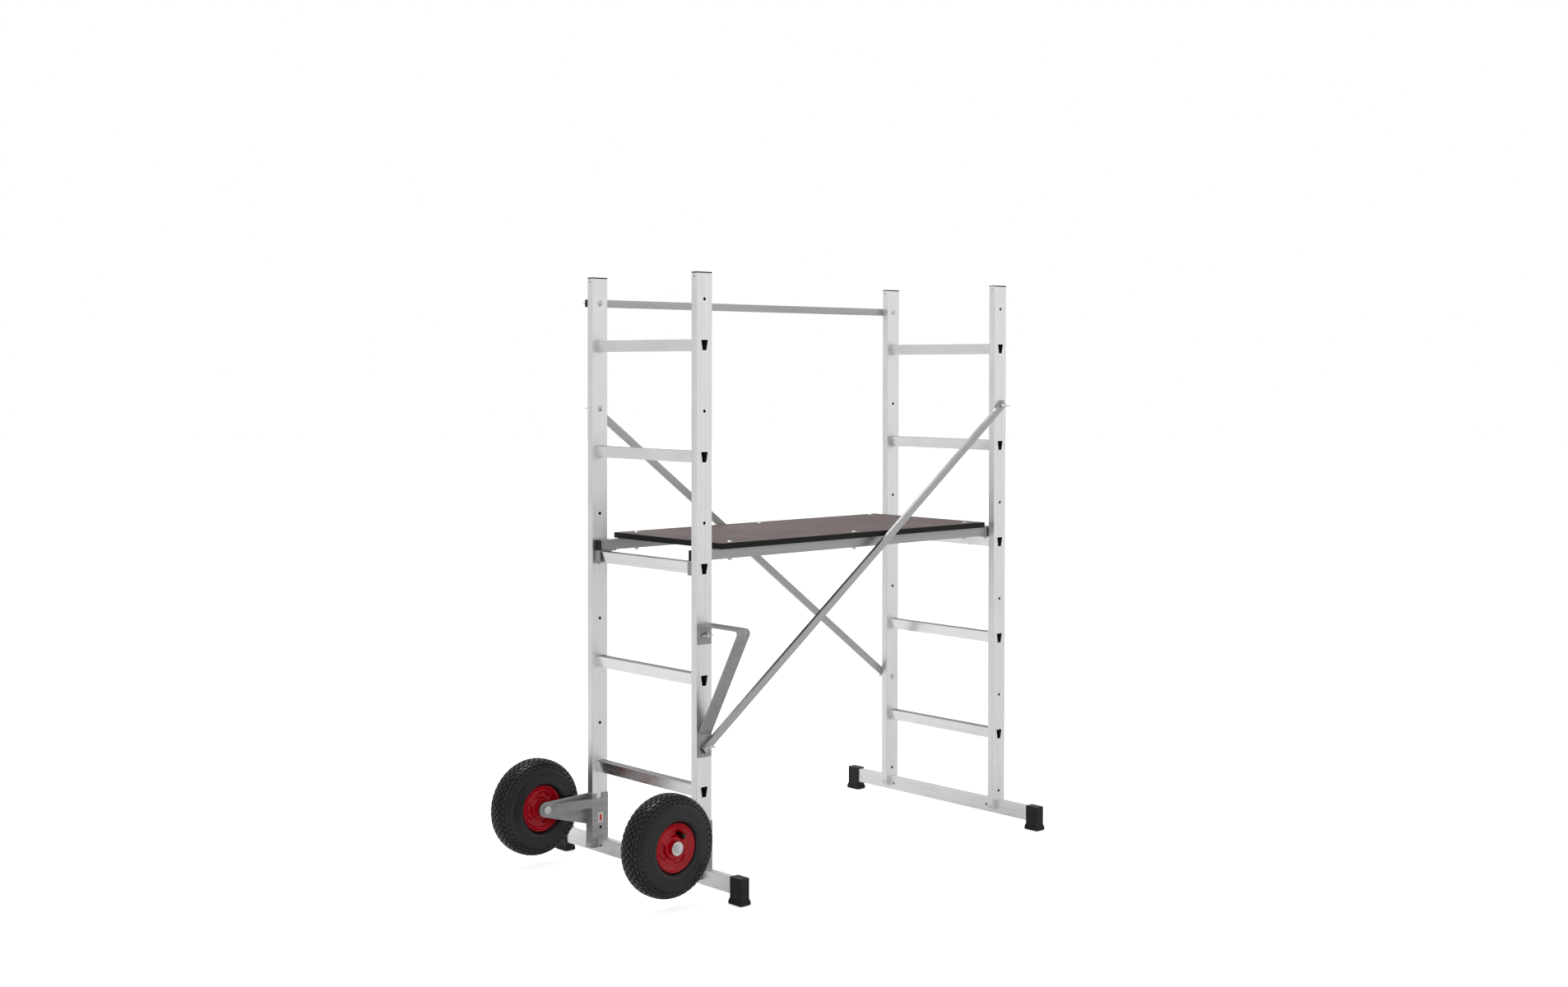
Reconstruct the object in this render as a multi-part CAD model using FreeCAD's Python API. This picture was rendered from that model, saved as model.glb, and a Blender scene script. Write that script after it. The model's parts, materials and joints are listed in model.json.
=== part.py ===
"""Small rolling frame scaffold: two ladder frames, a deck, a guard rail, two braces and two wheels.

Units are millimetres.  +Z is up and the soles of the feet stand on Z = 0.  X runs from the ladder
with the wheels ("left") to the plain ladder ("right"), Y from the push-handle side ("near", -Y) to
the guard-rail side ("far", +Y).  The origin is under the middle of the overall box.
"""
import FreeCAD, Part
import math
import os

from FreeCAD import Vector

# ---- driving dimensions -------------------------------------------------------------------------
HOLE_PITCH = 280.0            # holes and rungs repeat at this height
HOLE_COUNT = 6                # holes in each stile
RUNG_COUNT = 5                # rungs in each ladder
TOP_HOLE_Z = 1490.0
RUNG_DROP = 115.0             # rung centre below the hole above it
LADDER_SPACING = 1122.0       # between the stile centres of the two ladders
LADDER_WIDTH = 452.0          # over the outer faces of the two stiles of one ladder

STILE_WIDTH = 50.0            # along X
STILE_DEPTH = 21.0            # along Y
STILE_WALL = 1.8
STILE_TOP_Z = 1555.0
STILE_BOTTOM_Z = 37.0
CAP_THICKNESS = 3.0
BOLT_HOLE_RADIUS = 4.25

RUNG_TOP_WIDTH = 27.0
RUNG_BOTTOM_WIDTH = 16.0
RUNG_HEIGHT = 30.0
RUNG_WALL = 1.8
TREAD_GROOVES = 5
TREAD_GROOVE_WIDTH = 1.6
TREAD_GROOVE_DEPTH = 0.8

CROSSBAR_WIDTH = 20.0         # along X
CROSSBAR_HEIGHT = 40.0
CROSSBAR_WALL = 2.0
CROSSBAR_LENGTH = 756.0
CROSSBAR_BOTTOM_Z = 24.5
CROSSBAR_HOLE_RADIUS = 3.2
CROSSBAR_HOLE_Y = 188.0
RIVET_RADIUS = 3.0
RIVET_HEAD = 2.0
RIVET_Z = 46.0

FOOT_WALL = 3.5
FOOT_LENGTH = 41.0            # sleeve along Y
SOLE_FLARE = 3.0              # sole stands this far outside the sleeve
SOLE_HEIGHT = 18.0
SOLE_EDGE_RADIUS = 4.0

WHEEL_REACH = 160.0           # axle ahead of the left stile centres
WHEEL_RADIUS = 127.0
WHEEL_WIDTH = 82.0
WHEEL_CENTRE_Y = 277.0
AXLE_Z = 157.0

DECK_LENGTH = 1000.0
DECK_WIDTH = 445.0
DECK_THICKNESS = 15.0
DECK_BOLT_SPACING = 447.0
RAIL_WIDTH = 20.0
RAIL_HEIGHT = 27.0
RAIL_WALL = 1.6
RAIL_CENTRE_Y = 192.0
PLUG_THICKNESS = 3.0
HOOK_THICKNESS = 3.0
HOOK_DROP = 36.0              # leg below the rail
HOOK_PLAY = 1.5               # leg to the side of the rung
HOOK_BOLT_INSET = 23.0        # hook bolt inboard of the rung centre
HOOK_FLANGE = 38.0            # flange inboard of the rung centre

GUARD_RAIL_SIZE = 20.0
GUARD_RAIL_WALL = 1.5
GUARD_RAIL_OVERHANG = 16.0    # tube end past the stile centre

BRACE_WIDTH = 20.0
BRACE_DEPTH = 10.0
BRACE_WALL = 1.5
BRACE_OVERHANG = 14.0         # tube end past the bolt
BRACE_GAP = 0.1

HANDLE_WIDTH = 40.0
HANDLE_THICKNESS = 5.0
HANDLE_REACH = 157.0
HANDLE_TAB_TOP_Z = 679.0
HANDLE_TAB_FOOT_Z = 627.0
HANDLE_LOW_TAB_Z = 402.0
HANDLE_LOW_END_Z = 344.0

BRACKET_WALL = 3.0
BRACKET_TOP_Z = 181.0
BRACKET_EYE_RADIUS = 20.0
BRACKET_ARM_ROOT_Z = 98.0     # lower corner of the arm at the stile
BRACKET_NOTCH_WIDTH = 18.0
BRACKET_NOTCH_DEPTH = 14.0
BRACKET_NOTCH_OFFSET = -4.0
STRAP_HEIGHT = 24.0
STRAP_END_BACK = 24.0         # strap meets the arm this far from the axle

TYRE_BEAD_RADIUS = 51.0
TYRE_WALL = 6.0
TYRE_BEAD_SPREAD = 26.0       # bead centre from the wheel's middle plane
BEAD_HALF_WIDTH = 4.0
RIM_WALL = 2.0
RIM_FLANGE_RADIUS = 60.0
RIM_FLANGE_OUT = 33.0
RIM_WELL_RADIUS = 42.0
RIM_WELL_END = 10.0           # offsets from the wheel's middle plane
RIM_SEAT_END = 18.0
DISC_OFFSET = 22.0            # flat of the disc
DISC_CROWN = 5.0              # the disc rises this much round the hub
DISC_FLAT_RADIUS = 45.0
DISC_CROWN_RADIUS = 30.0
HUB_RADIUS = 18.0
HUB_LENGTH = 74.0
BEARING_RADIUS = 16.0
BEARING_WIDTH = 10.0
AXLE_RADIUS = 6.0
RUNNING_CLEARANCE = 0.05
SPACER_RADIUS = 10.0
VALVE_CIRCLE = 37.0           # valve centre from the axle
VALVE_ANGLE = 45.0            # degrees above the line from the axle to the frame
VALVE_RADIUS = 4.0
VALVE_FOOT = 19.0             # offsets from the wheel's middle plane
VALVE_SHOULDER = 30.0
VALVE_END = 36.0

BOLT_RADIUS = 4.0             # M8 frame bolts
BOLT_HEAD_RADIUS = 8.0
BOLT_HEAD_HEIGHT = 4.5
BOLT_END = 3.0                # thread showing past the wing nut
SMALL_BOLT_RADIUS = 3.0       # M6 deck bolts
SMALL_HEAD_RADIUS = 7.5
SMALL_HEAD_HEIGHT = 3.0
SMALL_NUT_FLATS = 10.0
SMALL_NUT_HEIGHT = 5.0
WING_HUB_RADIUS = 7.0
WING_HUB_HEIGHT = 8.5
WING_REACH = 17.0
WING_THICKNESS = 3.0

# ---- derived places -----------------------------------------------------------------------------
WHEEL_FRONT = -LADDER_SPACING / 2 - WHEEL_REACH - WHEEL_RADIUS
RIGHT_EDGE = LADDER_SPACING / 2 + STILE_WIDTH / 2 + RIVET_HEAD
MIDDLE_X = -(WHEEL_FRONT + RIGHT_EDGE) / 2          # middle between the ladders
LEFT_X = MIDDLE_X - LADDER_SPACING / 2
RIGHT_X = MIDDLE_X + LADDER_SPACING / 2
AXLE_X = LEFT_X - WHEEL_REACH
OUTER_Y = LADDER_WIDTH / 2
INNER_Y = OUTER_Y - STILE_DEPTH
STILE_Y = OUTER_Y - STILE_DEPTH / 2
DECK_RUNG = 2                                       # counted from the top
RUNG_TOP_OF_DECK = TOP_HOLE_Z - DECK_RUNG * HOLE_PITCH - RUNG_DROP + RUNG_HEIGHT / 2
RAIL_BOTTOM_Z = RUNG_TOP_OF_DECK + HOOK_THICKNESS
DECK_BOTTOM_Z = RAIL_BOTTOM_Z + RAIL_HEIGHT
DECK_TOP_Z = DECK_BOTTOM_Z + DECK_THICKNESS
CROSSBAR_TOP_Z = CROSSBAR_BOTTOM_Z + CROSSBAR_HEIGHT
HUB_END = WHEEL_CENTRE_Y - HUB_LENGTH / 2           # inner end of the hub along |Y|

AXIS_X = Vector(1, 0, 0)
AXIS_Y = Vector(0, 1, 0)
AXIS_Z = Vector(0, 0, 1)

LADDERS = (("left", LEFT_X), ("right", RIGHT_X))
SIDES = (("near", -1), ("far", 1))


def hole_z(index):
    """Height of a stile hole, counted from 0 at the top."""
    return TOP_HOLE_Z - index * HOLE_PITCH


# ---- shape helpers ------------------------------------------------------------------------------
def box(x0, x1, y0, y1, z0, z1):
    """Box between two corners given per axis in either order."""
    low = Vector(min(x0, x1), min(y0, y1), min(z0, z1))
    return Part.makeBox(abs(x1 - x0), abs(y1 - y0), abs(z1 - z0), low)


def rod(radius, start, end):
    """Round bar between two points."""
    along = end - start
    return Part.makeCylinder(radius, along.Length, start, along)


def face_of(points):
    """Flat face inside a closed outline of points."""
    return Part.Face(Part.makePolygon(list(points) + [points[0]]))


def mirror_y(shape):
    """The same shape on the other side of the middle plane Y = 0."""
    return shape.mirror(Vector(0, 0, 0), AXIS_Y)


def mirror_ladders(shape):
    """The same shape at the other ladder."""
    return shape.mirror(Vector(MIDDLE_X, 0, 0), AXIS_X)


def on_side(shape, side):
    """A shape drawn on the far side, moved to the side wanted."""
    return shape if side > 0 else mirror_y(shape)


def hexagon(flats, height, base, axis):
    """Hexagonal prism with its base centre and direction given."""
    corner = flats / math.sqrt(3)
    points = []
    for step in range(6):
        angle = math.radians(60 * step + 30)
        points.append(Vector(corner * math.cos(angle), corner * math.sin(angle), 0))
    prism = face_of(points).extrude(Vector(0, 0, height))
    prism.Placement = FreeCAD.Placement(base, FreeCAD.Rotation(AXIS_Z, axis))
    return prism


def dome(radius, height, base, axis):
    """Low domed bolt head standing on its base."""
    sphere_radius = (radius * radius + height * height) / (2 * height)
    centre = base - axis * (sphere_radius - height)
    ball = Part.makeSphere(sphere_radius, centre)
    return ball.common(Part.makeCylinder(radius + 1, height + 1, base, axis))


def square_tube(width, depth, wall, start, end, across):
    """Rectangular tube from start to end; across is the direction of its width."""
    along = end - start
    along_unit = Vector(along).normalize()
    wide = Vector(across).normalize()
    deep = along_unit.cross(wide)

    def section(half_width, half_depth):
        corners = ((-1, -1), (1, -1), (1, 1), (-1, 1))
        return face_of([start + wide * (a * half_width) + deep * (b * half_depth) for a, b in corners])

    outer = section(width / 2, depth / 2).extrude(along)
    inner = section(width / 2 - wall, depth / 2 - wall).extrude(along)
    return outer.cut(inner)


def bent_bar(points, radii, thickness, x0, x1):
    """Flat bar bent in the YZ plane, from (y, z) points on its middle line, between two X."""
    half = thickness / 2
    sides = {1: [], -1: []}

    def at(point, z_shift=0.0):
        return Vector(x0, point.y, point.z + z_shift)

    path = [Vector(0, y, z) for y, z in points]
    starts = [path[0]]
    for index in range(1, len(path) - 1):
        into = (path[index] - path[index - 1]).normalize()
        out = (path[index + 1] - path[index]).normalize()
        turn = math.acos(max(-1.0, min(1.0, into.dot(out))))
        bend = 1 if into.y * out.z - into.z * out.y > 0 else -1
        reach = radii[index - 1] * math.tan(turn / 2)
        enter = path[index] - into * reach
        leave = path[index] + out * reach
        normal_in = Vector(0, -into.z, into.y)
        normal_out = Vector(0, -out.z, out.y)
        normal_mid = (normal_in + normal_out).normalize()
        centre = enter + normal_in * (bend * radii[index - 1])
        for side in (1, -1):
            offset = side * half
            first_normal = Vector(0, -(enter - starts[-1]).z, (enter - starts[-1]).y).normalize()
            begin = at(starts[-1] + first_normal * offset)
            arc_in = at(enter + normal_in * offset)
            arc_out = at(leave + normal_out * offset)
            radius = radii[index - 1] - bend * offset
            arc_mid = at(centre - normal_mid * (bend * radius))
            sides[side].append(Part.LineSegment(begin, arc_in).toShape())
            sides[side].append(Part.Arc(arc_in, arc_mid, arc_out).toShape())
        starts.append(leave)
    last = (path[-1] - starts[-1]).normalize()
    last_normal = Vector(0, -last.z, last.y)
    first = (path[1] - path[0]).normalize()
    first_normal = Vector(0, -first.z, first.y)
    for side in (1, -1):
        offset = side * half
        begin = at(starts[-1] + last_normal * offset)
        sides[side].append(Part.LineSegment(begin, at(path[-1] + last_normal * offset)).toShape())
    cap_start = Part.LineSegment(at(path[0] - first_normal * half), at(path[0] + first_normal * half))
    cap_end = Part.LineSegment(at(path[-1] - last_normal * half), at(path[-1] + last_normal * half))
    edges = sides[1] + sides[-1] + [cap_start.toShape(), cap_end.toShape()]
    outline = Part.Wire(Part.__sortEdges__(edges))
    return Part.Face(outline).extrude(Vector(x1 - x0, 0, 0))


def turned(points, centre_y):
    """Ring turned about the axle from (radius, offset) points, centred on a wheel at centre_y."""
    outline = face_of([Vector(AXLE_X + radius, centre_y + offset, AXLE_Z) for radius, offset in points])
    return outline.revolve(Vector(AXLE_X, centre_y, AXLE_Z), AXIS_Y, 360)


def save(name, *solids):
    """Write one node as a STEP file."""
    shape = solids[0] if len(solids) == 1 else Part.makeCompound(list(solids))
    shape.exportStep("parts/" + name + ".step")


# ---- ladders ------------------------------------------------------------------------------------
def rung_outline(x, y, z, inset):
    """Trapezoid of a rung's section, wide side up."""
    half_top = RUNG_TOP_WIDTH / 2 - inset
    half_bottom = RUNG_BOTTOM_WIDTH / 2 - inset
    low = z - RUNG_HEIGHT / 2 + inset
    high = z + RUNG_HEIGHT / 2 - inset
    return [
        Vector(x - half_bottom, y, low),
        Vector(x + half_bottom, y, low),
        Vector(x + half_top, y, high),
        Vector(x - half_top, y, high),
    ]


def rung_bar(x, z, inset):
    """Solid bar of a rung's outline across the ladder."""
    return face_of(rung_outline(x, -OUTER_Y, z, inset)).extrude(Vector(0, LADDER_WIDTH, 0))


def rung(x, z):
    """Hollow rung with a grooved tread, flush with the outer faces of the stiles."""
    bar = rung_bar(x, z, 0.0).cut(rung_bar(x, z, RUNG_WALL))
    tread_z = z + RUNG_HEIGHT / 2
    pitch = RUNG_TOP_WIDTH / (TREAD_GROOVES + 1)
    for index in range(TREAD_GROOVES):
        middle = x - RUNG_TOP_WIDTH / 2 + pitch * (index + 1)
        half = TREAD_GROOVE_WIDTH / 2
        groove = box(middle - half, middle + half, -INNER_Y, INNER_Y, tread_z - TREAD_GROOVE_DEPTH, tread_z)
        bar = bar.cut(groove)
    return bar


def stile(x, side):
    """Upright of a ladder: a rectangular tube with bolt holes, rung windows and a slot at its foot."""
    y0 = side * INNER_Y
    y1 = side * OUTER_Y
    half = STILE_WIDTH / 2
    tube = box(x - half, x + half, y0, y1, STILE_BOTTOM_Z, STILE_TOP_Z)
    hollow = half - STILE_WALL
    inset = side * STILE_WALL
    tube = tube.cut(box(x - hollow, x + hollow, y0 + inset, y1 - inset, STILE_BOTTOM_Z, STILE_TOP_Z))
    for index in range(HOLE_COUNT):
        z = hole_z(index)
        tube = tube.cut(rod(BOLT_HOLE_RADIUS, Vector(x, y0 - side, z), Vector(x, y1 + side, z)))
    for index in range(RUNG_COUNT):
        tube = tube.cut(rung_bar(x, hole_z(index) - RUNG_DROP, 0.0))
    slot = CROSSBAR_WIDTH / 2
    tube = tube.cut(box(x - slot, x + slot, y0, y1, STILE_BOTTOM_Z, CROSSBAR_TOP_Z))
    rivet_y = side * STILE_Y
    return tube.cut(rod(RIVET_RADIUS, Vector(x - half, rivet_y, RIVET_Z), Vector(x + half, rivet_y, RIVET_Z)))


def stile_cap(x, side):
    """Plastic cap pressed into the top of a stile."""
    half = STILE_WIDTH / 2
    plate = box(x - half, x + half, side * INNER_Y, side * OUTER_Y, STILE_TOP_Z, STILE_TOP_Z + CAP_THICKNESS)
    plug_x = half - STILE_WALL
    plug_y = STILE_DEPTH / 2 - STILE_WALL
    middle = side * STILE_Y
    plug = box(x - plug_x, x + plug_x, middle - plug_y, middle + plug_y, STILE_TOP_Z - 15, STILE_TOP_Z)
    return plate.fuse(plug).removeSplitter()


def crossbar(x):
    """Tube under a ladder that carries the feet."""
    half_length = CROSSBAR_LENGTH / 2
    middle_z = CROSSBAR_BOTTOM_Z + CROSSBAR_HEIGHT / 2
    start = Vector(x, -half_length, middle_z)
    end = Vector(x, half_length, middle_z)
    bar = square_tube(CROSSBAR_WIDTH, CROSSBAR_HEIGHT, CROSSBAR_WALL, start, end, AXIS_X)
    half = CROSSBAR_WIDTH / 2
    for side in (-1, 1):
        y = side * CROSSBAR_HOLE_Y
        bar = bar.cut(rod(CROSSBAR_HOLE_RADIUS, Vector(x - half, y, middle_z), Vector(x + half, y, middle_z)))
        y = side * STILE_Y
        bar = bar.cut(rod(RIVET_RADIUS, Vector(x - half, y, RIVET_Z), Vector(x + half, y, RIVET_Z)))
    return bar


def foot(x, side):
    """Rubber foot: a sleeve over the crossbar's end with a flared sole."""
    end_y = CROSSBAR_LENGTH / 2 + FOOT_WALL
    start_y = end_y - FOOT_LENGTH
    half = CROSSBAR_WIDTH / 2 + FOOT_WALL
    sleeve = box(x - half, x + half, start_y, end_y, SOLE_HEIGHT, CROSSBAR_TOP_Z + FOOT_WALL)

    def ring(z, grow):
        low = Vector(x - half - grow, start_y - grow, z)
        high = Vector(x + half + grow, end_y + grow, z)
        corners = (low, Vector(high.x, low.y, z), high, Vector(low.x, high.y, z))
        return Part.makePolygon(list(corners) + [corners[0]])

    flare = Part.makeLoft([ring(SOLE_HEIGHT * 0.45, SOLE_FLARE), ring(SOLE_HEIGHT, 0.0)], True, True)
    grow = SOLE_FLARE
    sole = box(x - half - grow, x + half + grow, start_y - grow, end_y + grow, 0, SOLE_HEIGHT * 0.45)
    sole = sole.fuse(flare)
    corners = [edge for edge in sole.Edges if edge.BoundBox.ZLength < 0.01 and edge.BoundBox.ZMax < 0.01]
    sole = sole.makeFillet(SOLE_EDGE_RADIUS, corners)
    body = sleeve.fuse(sole).removeSplitter()
    bar_half = CROSSBAR_WIDTH / 2
    socket = box(x - bar_half, x + bar_half, start_y - grow, end_y - FOOT_WALL, CROSSBAR_BOTTOM_Z, CROSSBAR_TOP_Z)
    return on_side(body.cut(socket), side)


def crossbar_rivet(x, side):
    """Long rivet that ties both legs of a stile to the crossbar between them."""
    half = STILE_WIDTH / 2
    grip = half + (BRACKET_WALL if x < MIDDLE_X else 0.0)
    y = side * STILE_Y
    start = Vector(x - grip, y, RIVET_Z)
    end = Vector(x + half, y, RIVET_Z)
    shank = rod(RIVET_RADIUS, start, end)
    head = dome(RIVET_RADIUS * 2, RIVET_HEAD, start, Vector(-1, 0, 0))
    tail = dome(RIVET_RADIUS * 2, RIVET_HEAD, end, AXIS_X)
    return shank.fuse(head).fuse(tail)


def make_ladders():
    """Both ladder frames with their crossbars, feet and caps."""
    for ladder, x in LADDERS:
        for side_name, side in SIDES:
            save("stile_" + ladder + "_" + side_name, stile(x, side))
            save("foot_" + ladder + "_" + side_name, foot(x, side))
        for index in range(RUNG_COUNT):
            save("rung_" + ladder + "_" + str(index + 1), rung(x, hole_z(index) - RUNG_DROP))
        save("crossbar_" + ladder, crossbar(x))
    save("stile_end_caps", *[stile_cap(x, side) for _, x in LADDERS for _, side in SIDES])
    save("crossbar_rivets", *[crossbar_rivet(x, side) for _, x in LADDERS for _, side in SIDES])


# ---- guard rail, braces and handle --------------------------------------------------------------
def guard_rail():
    """Square tube bolted outside the far stiles at the top hole."""
    y = OUTER_Y + GUARD_RAIL_SIZE / 2
    z = hole_z(0)
    start = Vector(LEFT_X - GUARD_RAIL_OVERHANG, y, z)
    end = Vector(RIGHT_X + GUARD_RAIL_OVERHANG, y, z)
    tube = square_tube(GUARD_RAIL_SIZE, GUARD_RAIL_SIZE, GUARD_RAIL_WALL, start, end, AXIS_Z)
    for x in (LEFT_X, RIGHT_X):
        hole = rod(BOLT_HOLE_RADIUS, Vector(x, OUTER_Y - 1, z), Vector(x, OUTER_Y + GUARD_RAIL_SIZE + 1, z))
        tube = tube.cut(hole)
    return tube


def guard_rail_plug():
    """End plug of the guard rail, at its left end."""
    y = OUTER_Y + GUARD_RAIL_SIZE / 2
    z = hole_z(0)
    end = LEFT_X - GUARD_RAIL_OVERHANG
    half = GUARD_RAIL_SIZE / 2
    bore = half - GUARD_RAIL_WALL
    plate = box(end - PLUG_THICKNESS, end, y - half, y + half, z - half, z + half)
    return plate.fuse(box(end, end + 10, y - bore, y + bore, z - bore, z + bore)).removeSplitter()


def brace(start_xz, end_xz, start_y, end_y):
    """Flat tube from bolt to bolt outside the stiles; the y values are those of its middle."""
    first = Vector(start_xz[0], start_y, start_xz[1])
    last = Vector(end_xz[0], end_y, end_xz[1])
    along = (last - first).normalize()
    across = along.cross(AXIS_Y)
    start = first - along * BRACE_OVERHANG
    end = last + along * BRACE_OVERHANG
    tube = square_tube(BRACE_WIDTH, BRACE_DEPTH, BRACE_WALL, start, end, across)
    for bolt in (first, last):
        reach = Vector(0, BRACE_DEPTH, 0)
        tube = tube.cut(rod(BOLT_HOLE_RADIUS, bolt - reach, bolt + reach))
    return tube


def push_handle():
    """Flat bar bent into a triangle on the near left stile, for pushing the scaffold."""
    half = HANDLE_THICKNESS / 2
    tab_y = -OUTER_Y - half
    path = (
        (tab_y, HANDLE_TAB_FOOT_Z),
        (tab_y, HANDLE_TAB_TOP_Z - half),
        (-OUTER_Y - HANDLE_REACH + half, HANDLE_TAB_TOP_Z - half),
        (tab_y, HANDLE_LOW_TAB_Z),
        (tab_y, HANDLE_LOW_END_Z),
    )
    x0 = LEFT_X - HANDLE_WIDTH / 2
    bar = bent_bar(path, (5.0, 9.0, 8.0), HANDLE_THICKNESS, x0, x0 + HANDLE_WIDTH)
    for index in (3, 4):
        start = Vector(LEFT_X, -OUTER_Y + 1, hole_z(index))
        bar = bar.cut(rod(BOLT_HOLE_RADIUS, start, start - Vector(0, HANDLE_THICKNESS + 2, 0)))
    return bar


# name, stile centre, side, hole index, thickness clamped outside the stile
WING_NUTS = (
    ("wing_nut_guard_left", LEFT_X, 1, 0, GUARD_RAIL_SIZE),
    ("wing_nut_guard_right", RIGHT_X, 1, 0, GUARD_RAIL_SIZE),
    ("wing_nut_rear_brace_top", LEFT_X, 1, 1, BRACE_DEPTH + BRACE_GAP),
    ("wing_nut_rear_brace_foot", RIGHT_X, 1, 4, BRACE_DEPTH + BRACE_GAP),
    ("wing_nut_front_brace_top", RIGHT_X, -1, 1, BRACE_DEPTH + 2 * BRACE_GAP),
    ("wing_nut_front_brace_foot", LEFT_X, -1, 4, BRACE_DEPTH + HANDLE_THICKNESS + 2 * BRACE_GAP),
    ("wing_nut_handle", LEFT_X, -1, 3, HANDLE_THICKNESS),
)


def frame_bolt(x, side, index, grip):
    """Domed bolt from inside a stile through what is clamped on its outer face."""
    z = hole_z(index)
    head = Vector(x, side * INNER_Y, z)
    end = Vector(x, side * (OUTER_Y + grip + WING_HUB_HEIGHT + BOLT_END), z)
    bolt = rod(BOLT_RADIUS, head, end)
    return bolt.fuse(dome(BOLT_HEAD_RADIUS, BOLT_HEAD_HEIGHT, head, Vector(0, -side, 0)))


def wing_nut(x, side, index, grip):
    """Wing nut, drawn at the origin along +Z and then set on its bolt."""
    hub = Part.makeCone(WING_HUB_RADIUS, WING_HUB_RADIUS - 1.5, WING_HUB_HEIGHT)
    half = WING_THICKNESS / 2
    wing = face_of([
        Vector(2.0, -half, 2.0),
        Vector(WING_REACH - 4, -half, 4.5),
        Vector(WING_REACH, -half, 9.0),
        Vector(WING_REACH - 1.5, -half, 13.5),
        Vector(WING_REACH - 6, -half, 13.5),
        Vector(2.0, -half, 7.5),
    ]).extrude(Vector(0, WING_THICKNESS, 0))
    other = wing.mirror(Vector(0, 0, 0), AXIS_X)
    bore = Part.makeCylinder(BOLT_RADIUS + RUNNING_CLEARANCE, WING_HUB_HEIGHT + 10, Vector(0, 0, -1))
    nut = hub.fuse(wing).fuse(other).cut(bore).removeSplitter()
    base = Vector(x, side * (OUTER_Y + grip), hole_z(index))
    nut.Placement = FreeCAD.Placement(base, FreeCAD.Rotation(AXIS_Z, Vector(0, side, 0)))
    return nut


def make_stiffeners():
    """Guard rail, braces, handle and the bolts and wing nuts that hold them."""
    save("guard_rail", guard_rail())
    plug = guard_rail_plug()
    save("guard_rail_plugs", plug, mirror_ladders(plug))
    near_y = -OUTER_Y - BRACE_GAP - BRACE_DEPTH / 2
    far_y = OUTER_Y + BRACE_DEPTH / 2 + BRACE_GAP / 2
    top_right = (RIGHT_X, hole_z(1))
    foot_left = (LEFT_X, hole_z(4))
    save("front_brace", brace(top_right, foot_left, near_y, near_y - HANDLE_THICKNESS))
    save("rear_brace", brace((LEFT_X, hole_z(1)), (RIGHT_X, hole_z(4)), far_y, far_y))
    save("push_handle", push_handle())
    save("frame_bolts", *[frame_bolt(x, side, index, grip) for _, x, side, index, grip in WING_NUTS])
    for name, x, side, index, grip in WING_NUTS:
        save(name, wing_nut(x, side, index, grip))


# ---- deck ---------------------------------------------------------------------------------------
def deck_bolt_places():
    """The six places where the board is bolted to its rails."""
    return [
        (MIDDLE_X + step * DECK_BOLT_SPACING, side * RAIL_CENTRE_Y)
        for side in (-1, 1)
        for step in (-1, 0, 1)
    ]


def hook_bolt_places():
    """The four places where the hooks are bolted under the rail ends."""
    return [
        (x, side * RAIL_CENTRE_Y)
        for x in (LEFT_X + HOOK_BOLT_INSET, RIGHT_X - HOOK_BOLT_INSET)
        for side in (-1, 1)
    ]


RAIL_END = LADDER_SPACING / 2 + RUNG_TOP_WIDTH / 2 + HOOK_PLAY     # from the middle, plug included


def deck_board():
    """Film-faced board with its six bolt holes."""
    half_length = DECK_LENGTH / 2
    half_width = DECK_WIDTH / 2
    board = box(MIDDLE_X - half_length, MIDDLE_X + half_length, -half_width, half_width, DECK_BOTTOM_Z, DECK_TOP_Z)
    for x, y in deck_bolt_places():
        board = board.cut(rod(SMALL_BOLT_RADIUS, Vector(x, y, DECK_BOTTOM_Z), Vector(x, y, DECK_TOP_Z)))
    return board


def deck_rail(side):
    """Tube under one long edge of the board, reaching over the rungs."""
    y = side * RAIL_CENTRE_Y
    z = RAIL_BOTTOM_Z + RAIL_HEIGHT / 2
    reach = RAIL_END - PLUG_THICKNESS
    start = Vector(MIDDLE_X - reach, y, z)
    end = Vector(MIDDLE_X + reach, y, z)
    tube = square_tube(RAIL_WIDTH, RAIL_HEIGHT, RAIL_WALL, start, end, AXIS_Y)
    for x, hole_y in deck_bolt_places() + hook_bolt_places():
        if hole_y * side > 0:
            hole = rod(SMALL_BOLT_RADIUS, Vector(x, hole_y, RAIL_BOTTOM_Z), Vector(x, hole_y, DECK_BOTTOM_Z))
            tube = tube.cut(hole)
    return tube


def rail_plug(side):
    """End plug of a rail, at its left end."""
    y = side * RAIL_CENTRE_Y
    end = MIDDLE_X - RAIL_END
    half = RAIL_WIDTH / 2
    plate = box(end, end + PLUG_THICKNESS, y - half, y + half, RAIL_BOTTOM_Z, DECK_BOTTOM_Z)
    bore = half - RAIL_WALL
    low = RAIL_BOTTOM_Z + RAIL_WALL
    high = DECK_BOTTOM_Z - RAIL_WALL
    tongue = box(end + PLUG_THICKNESS, end + PLUG_THICKNESS + 12, y - bore, y + bore, low, high)
    return plate.fuse(tongue).removeSplitter()


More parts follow.
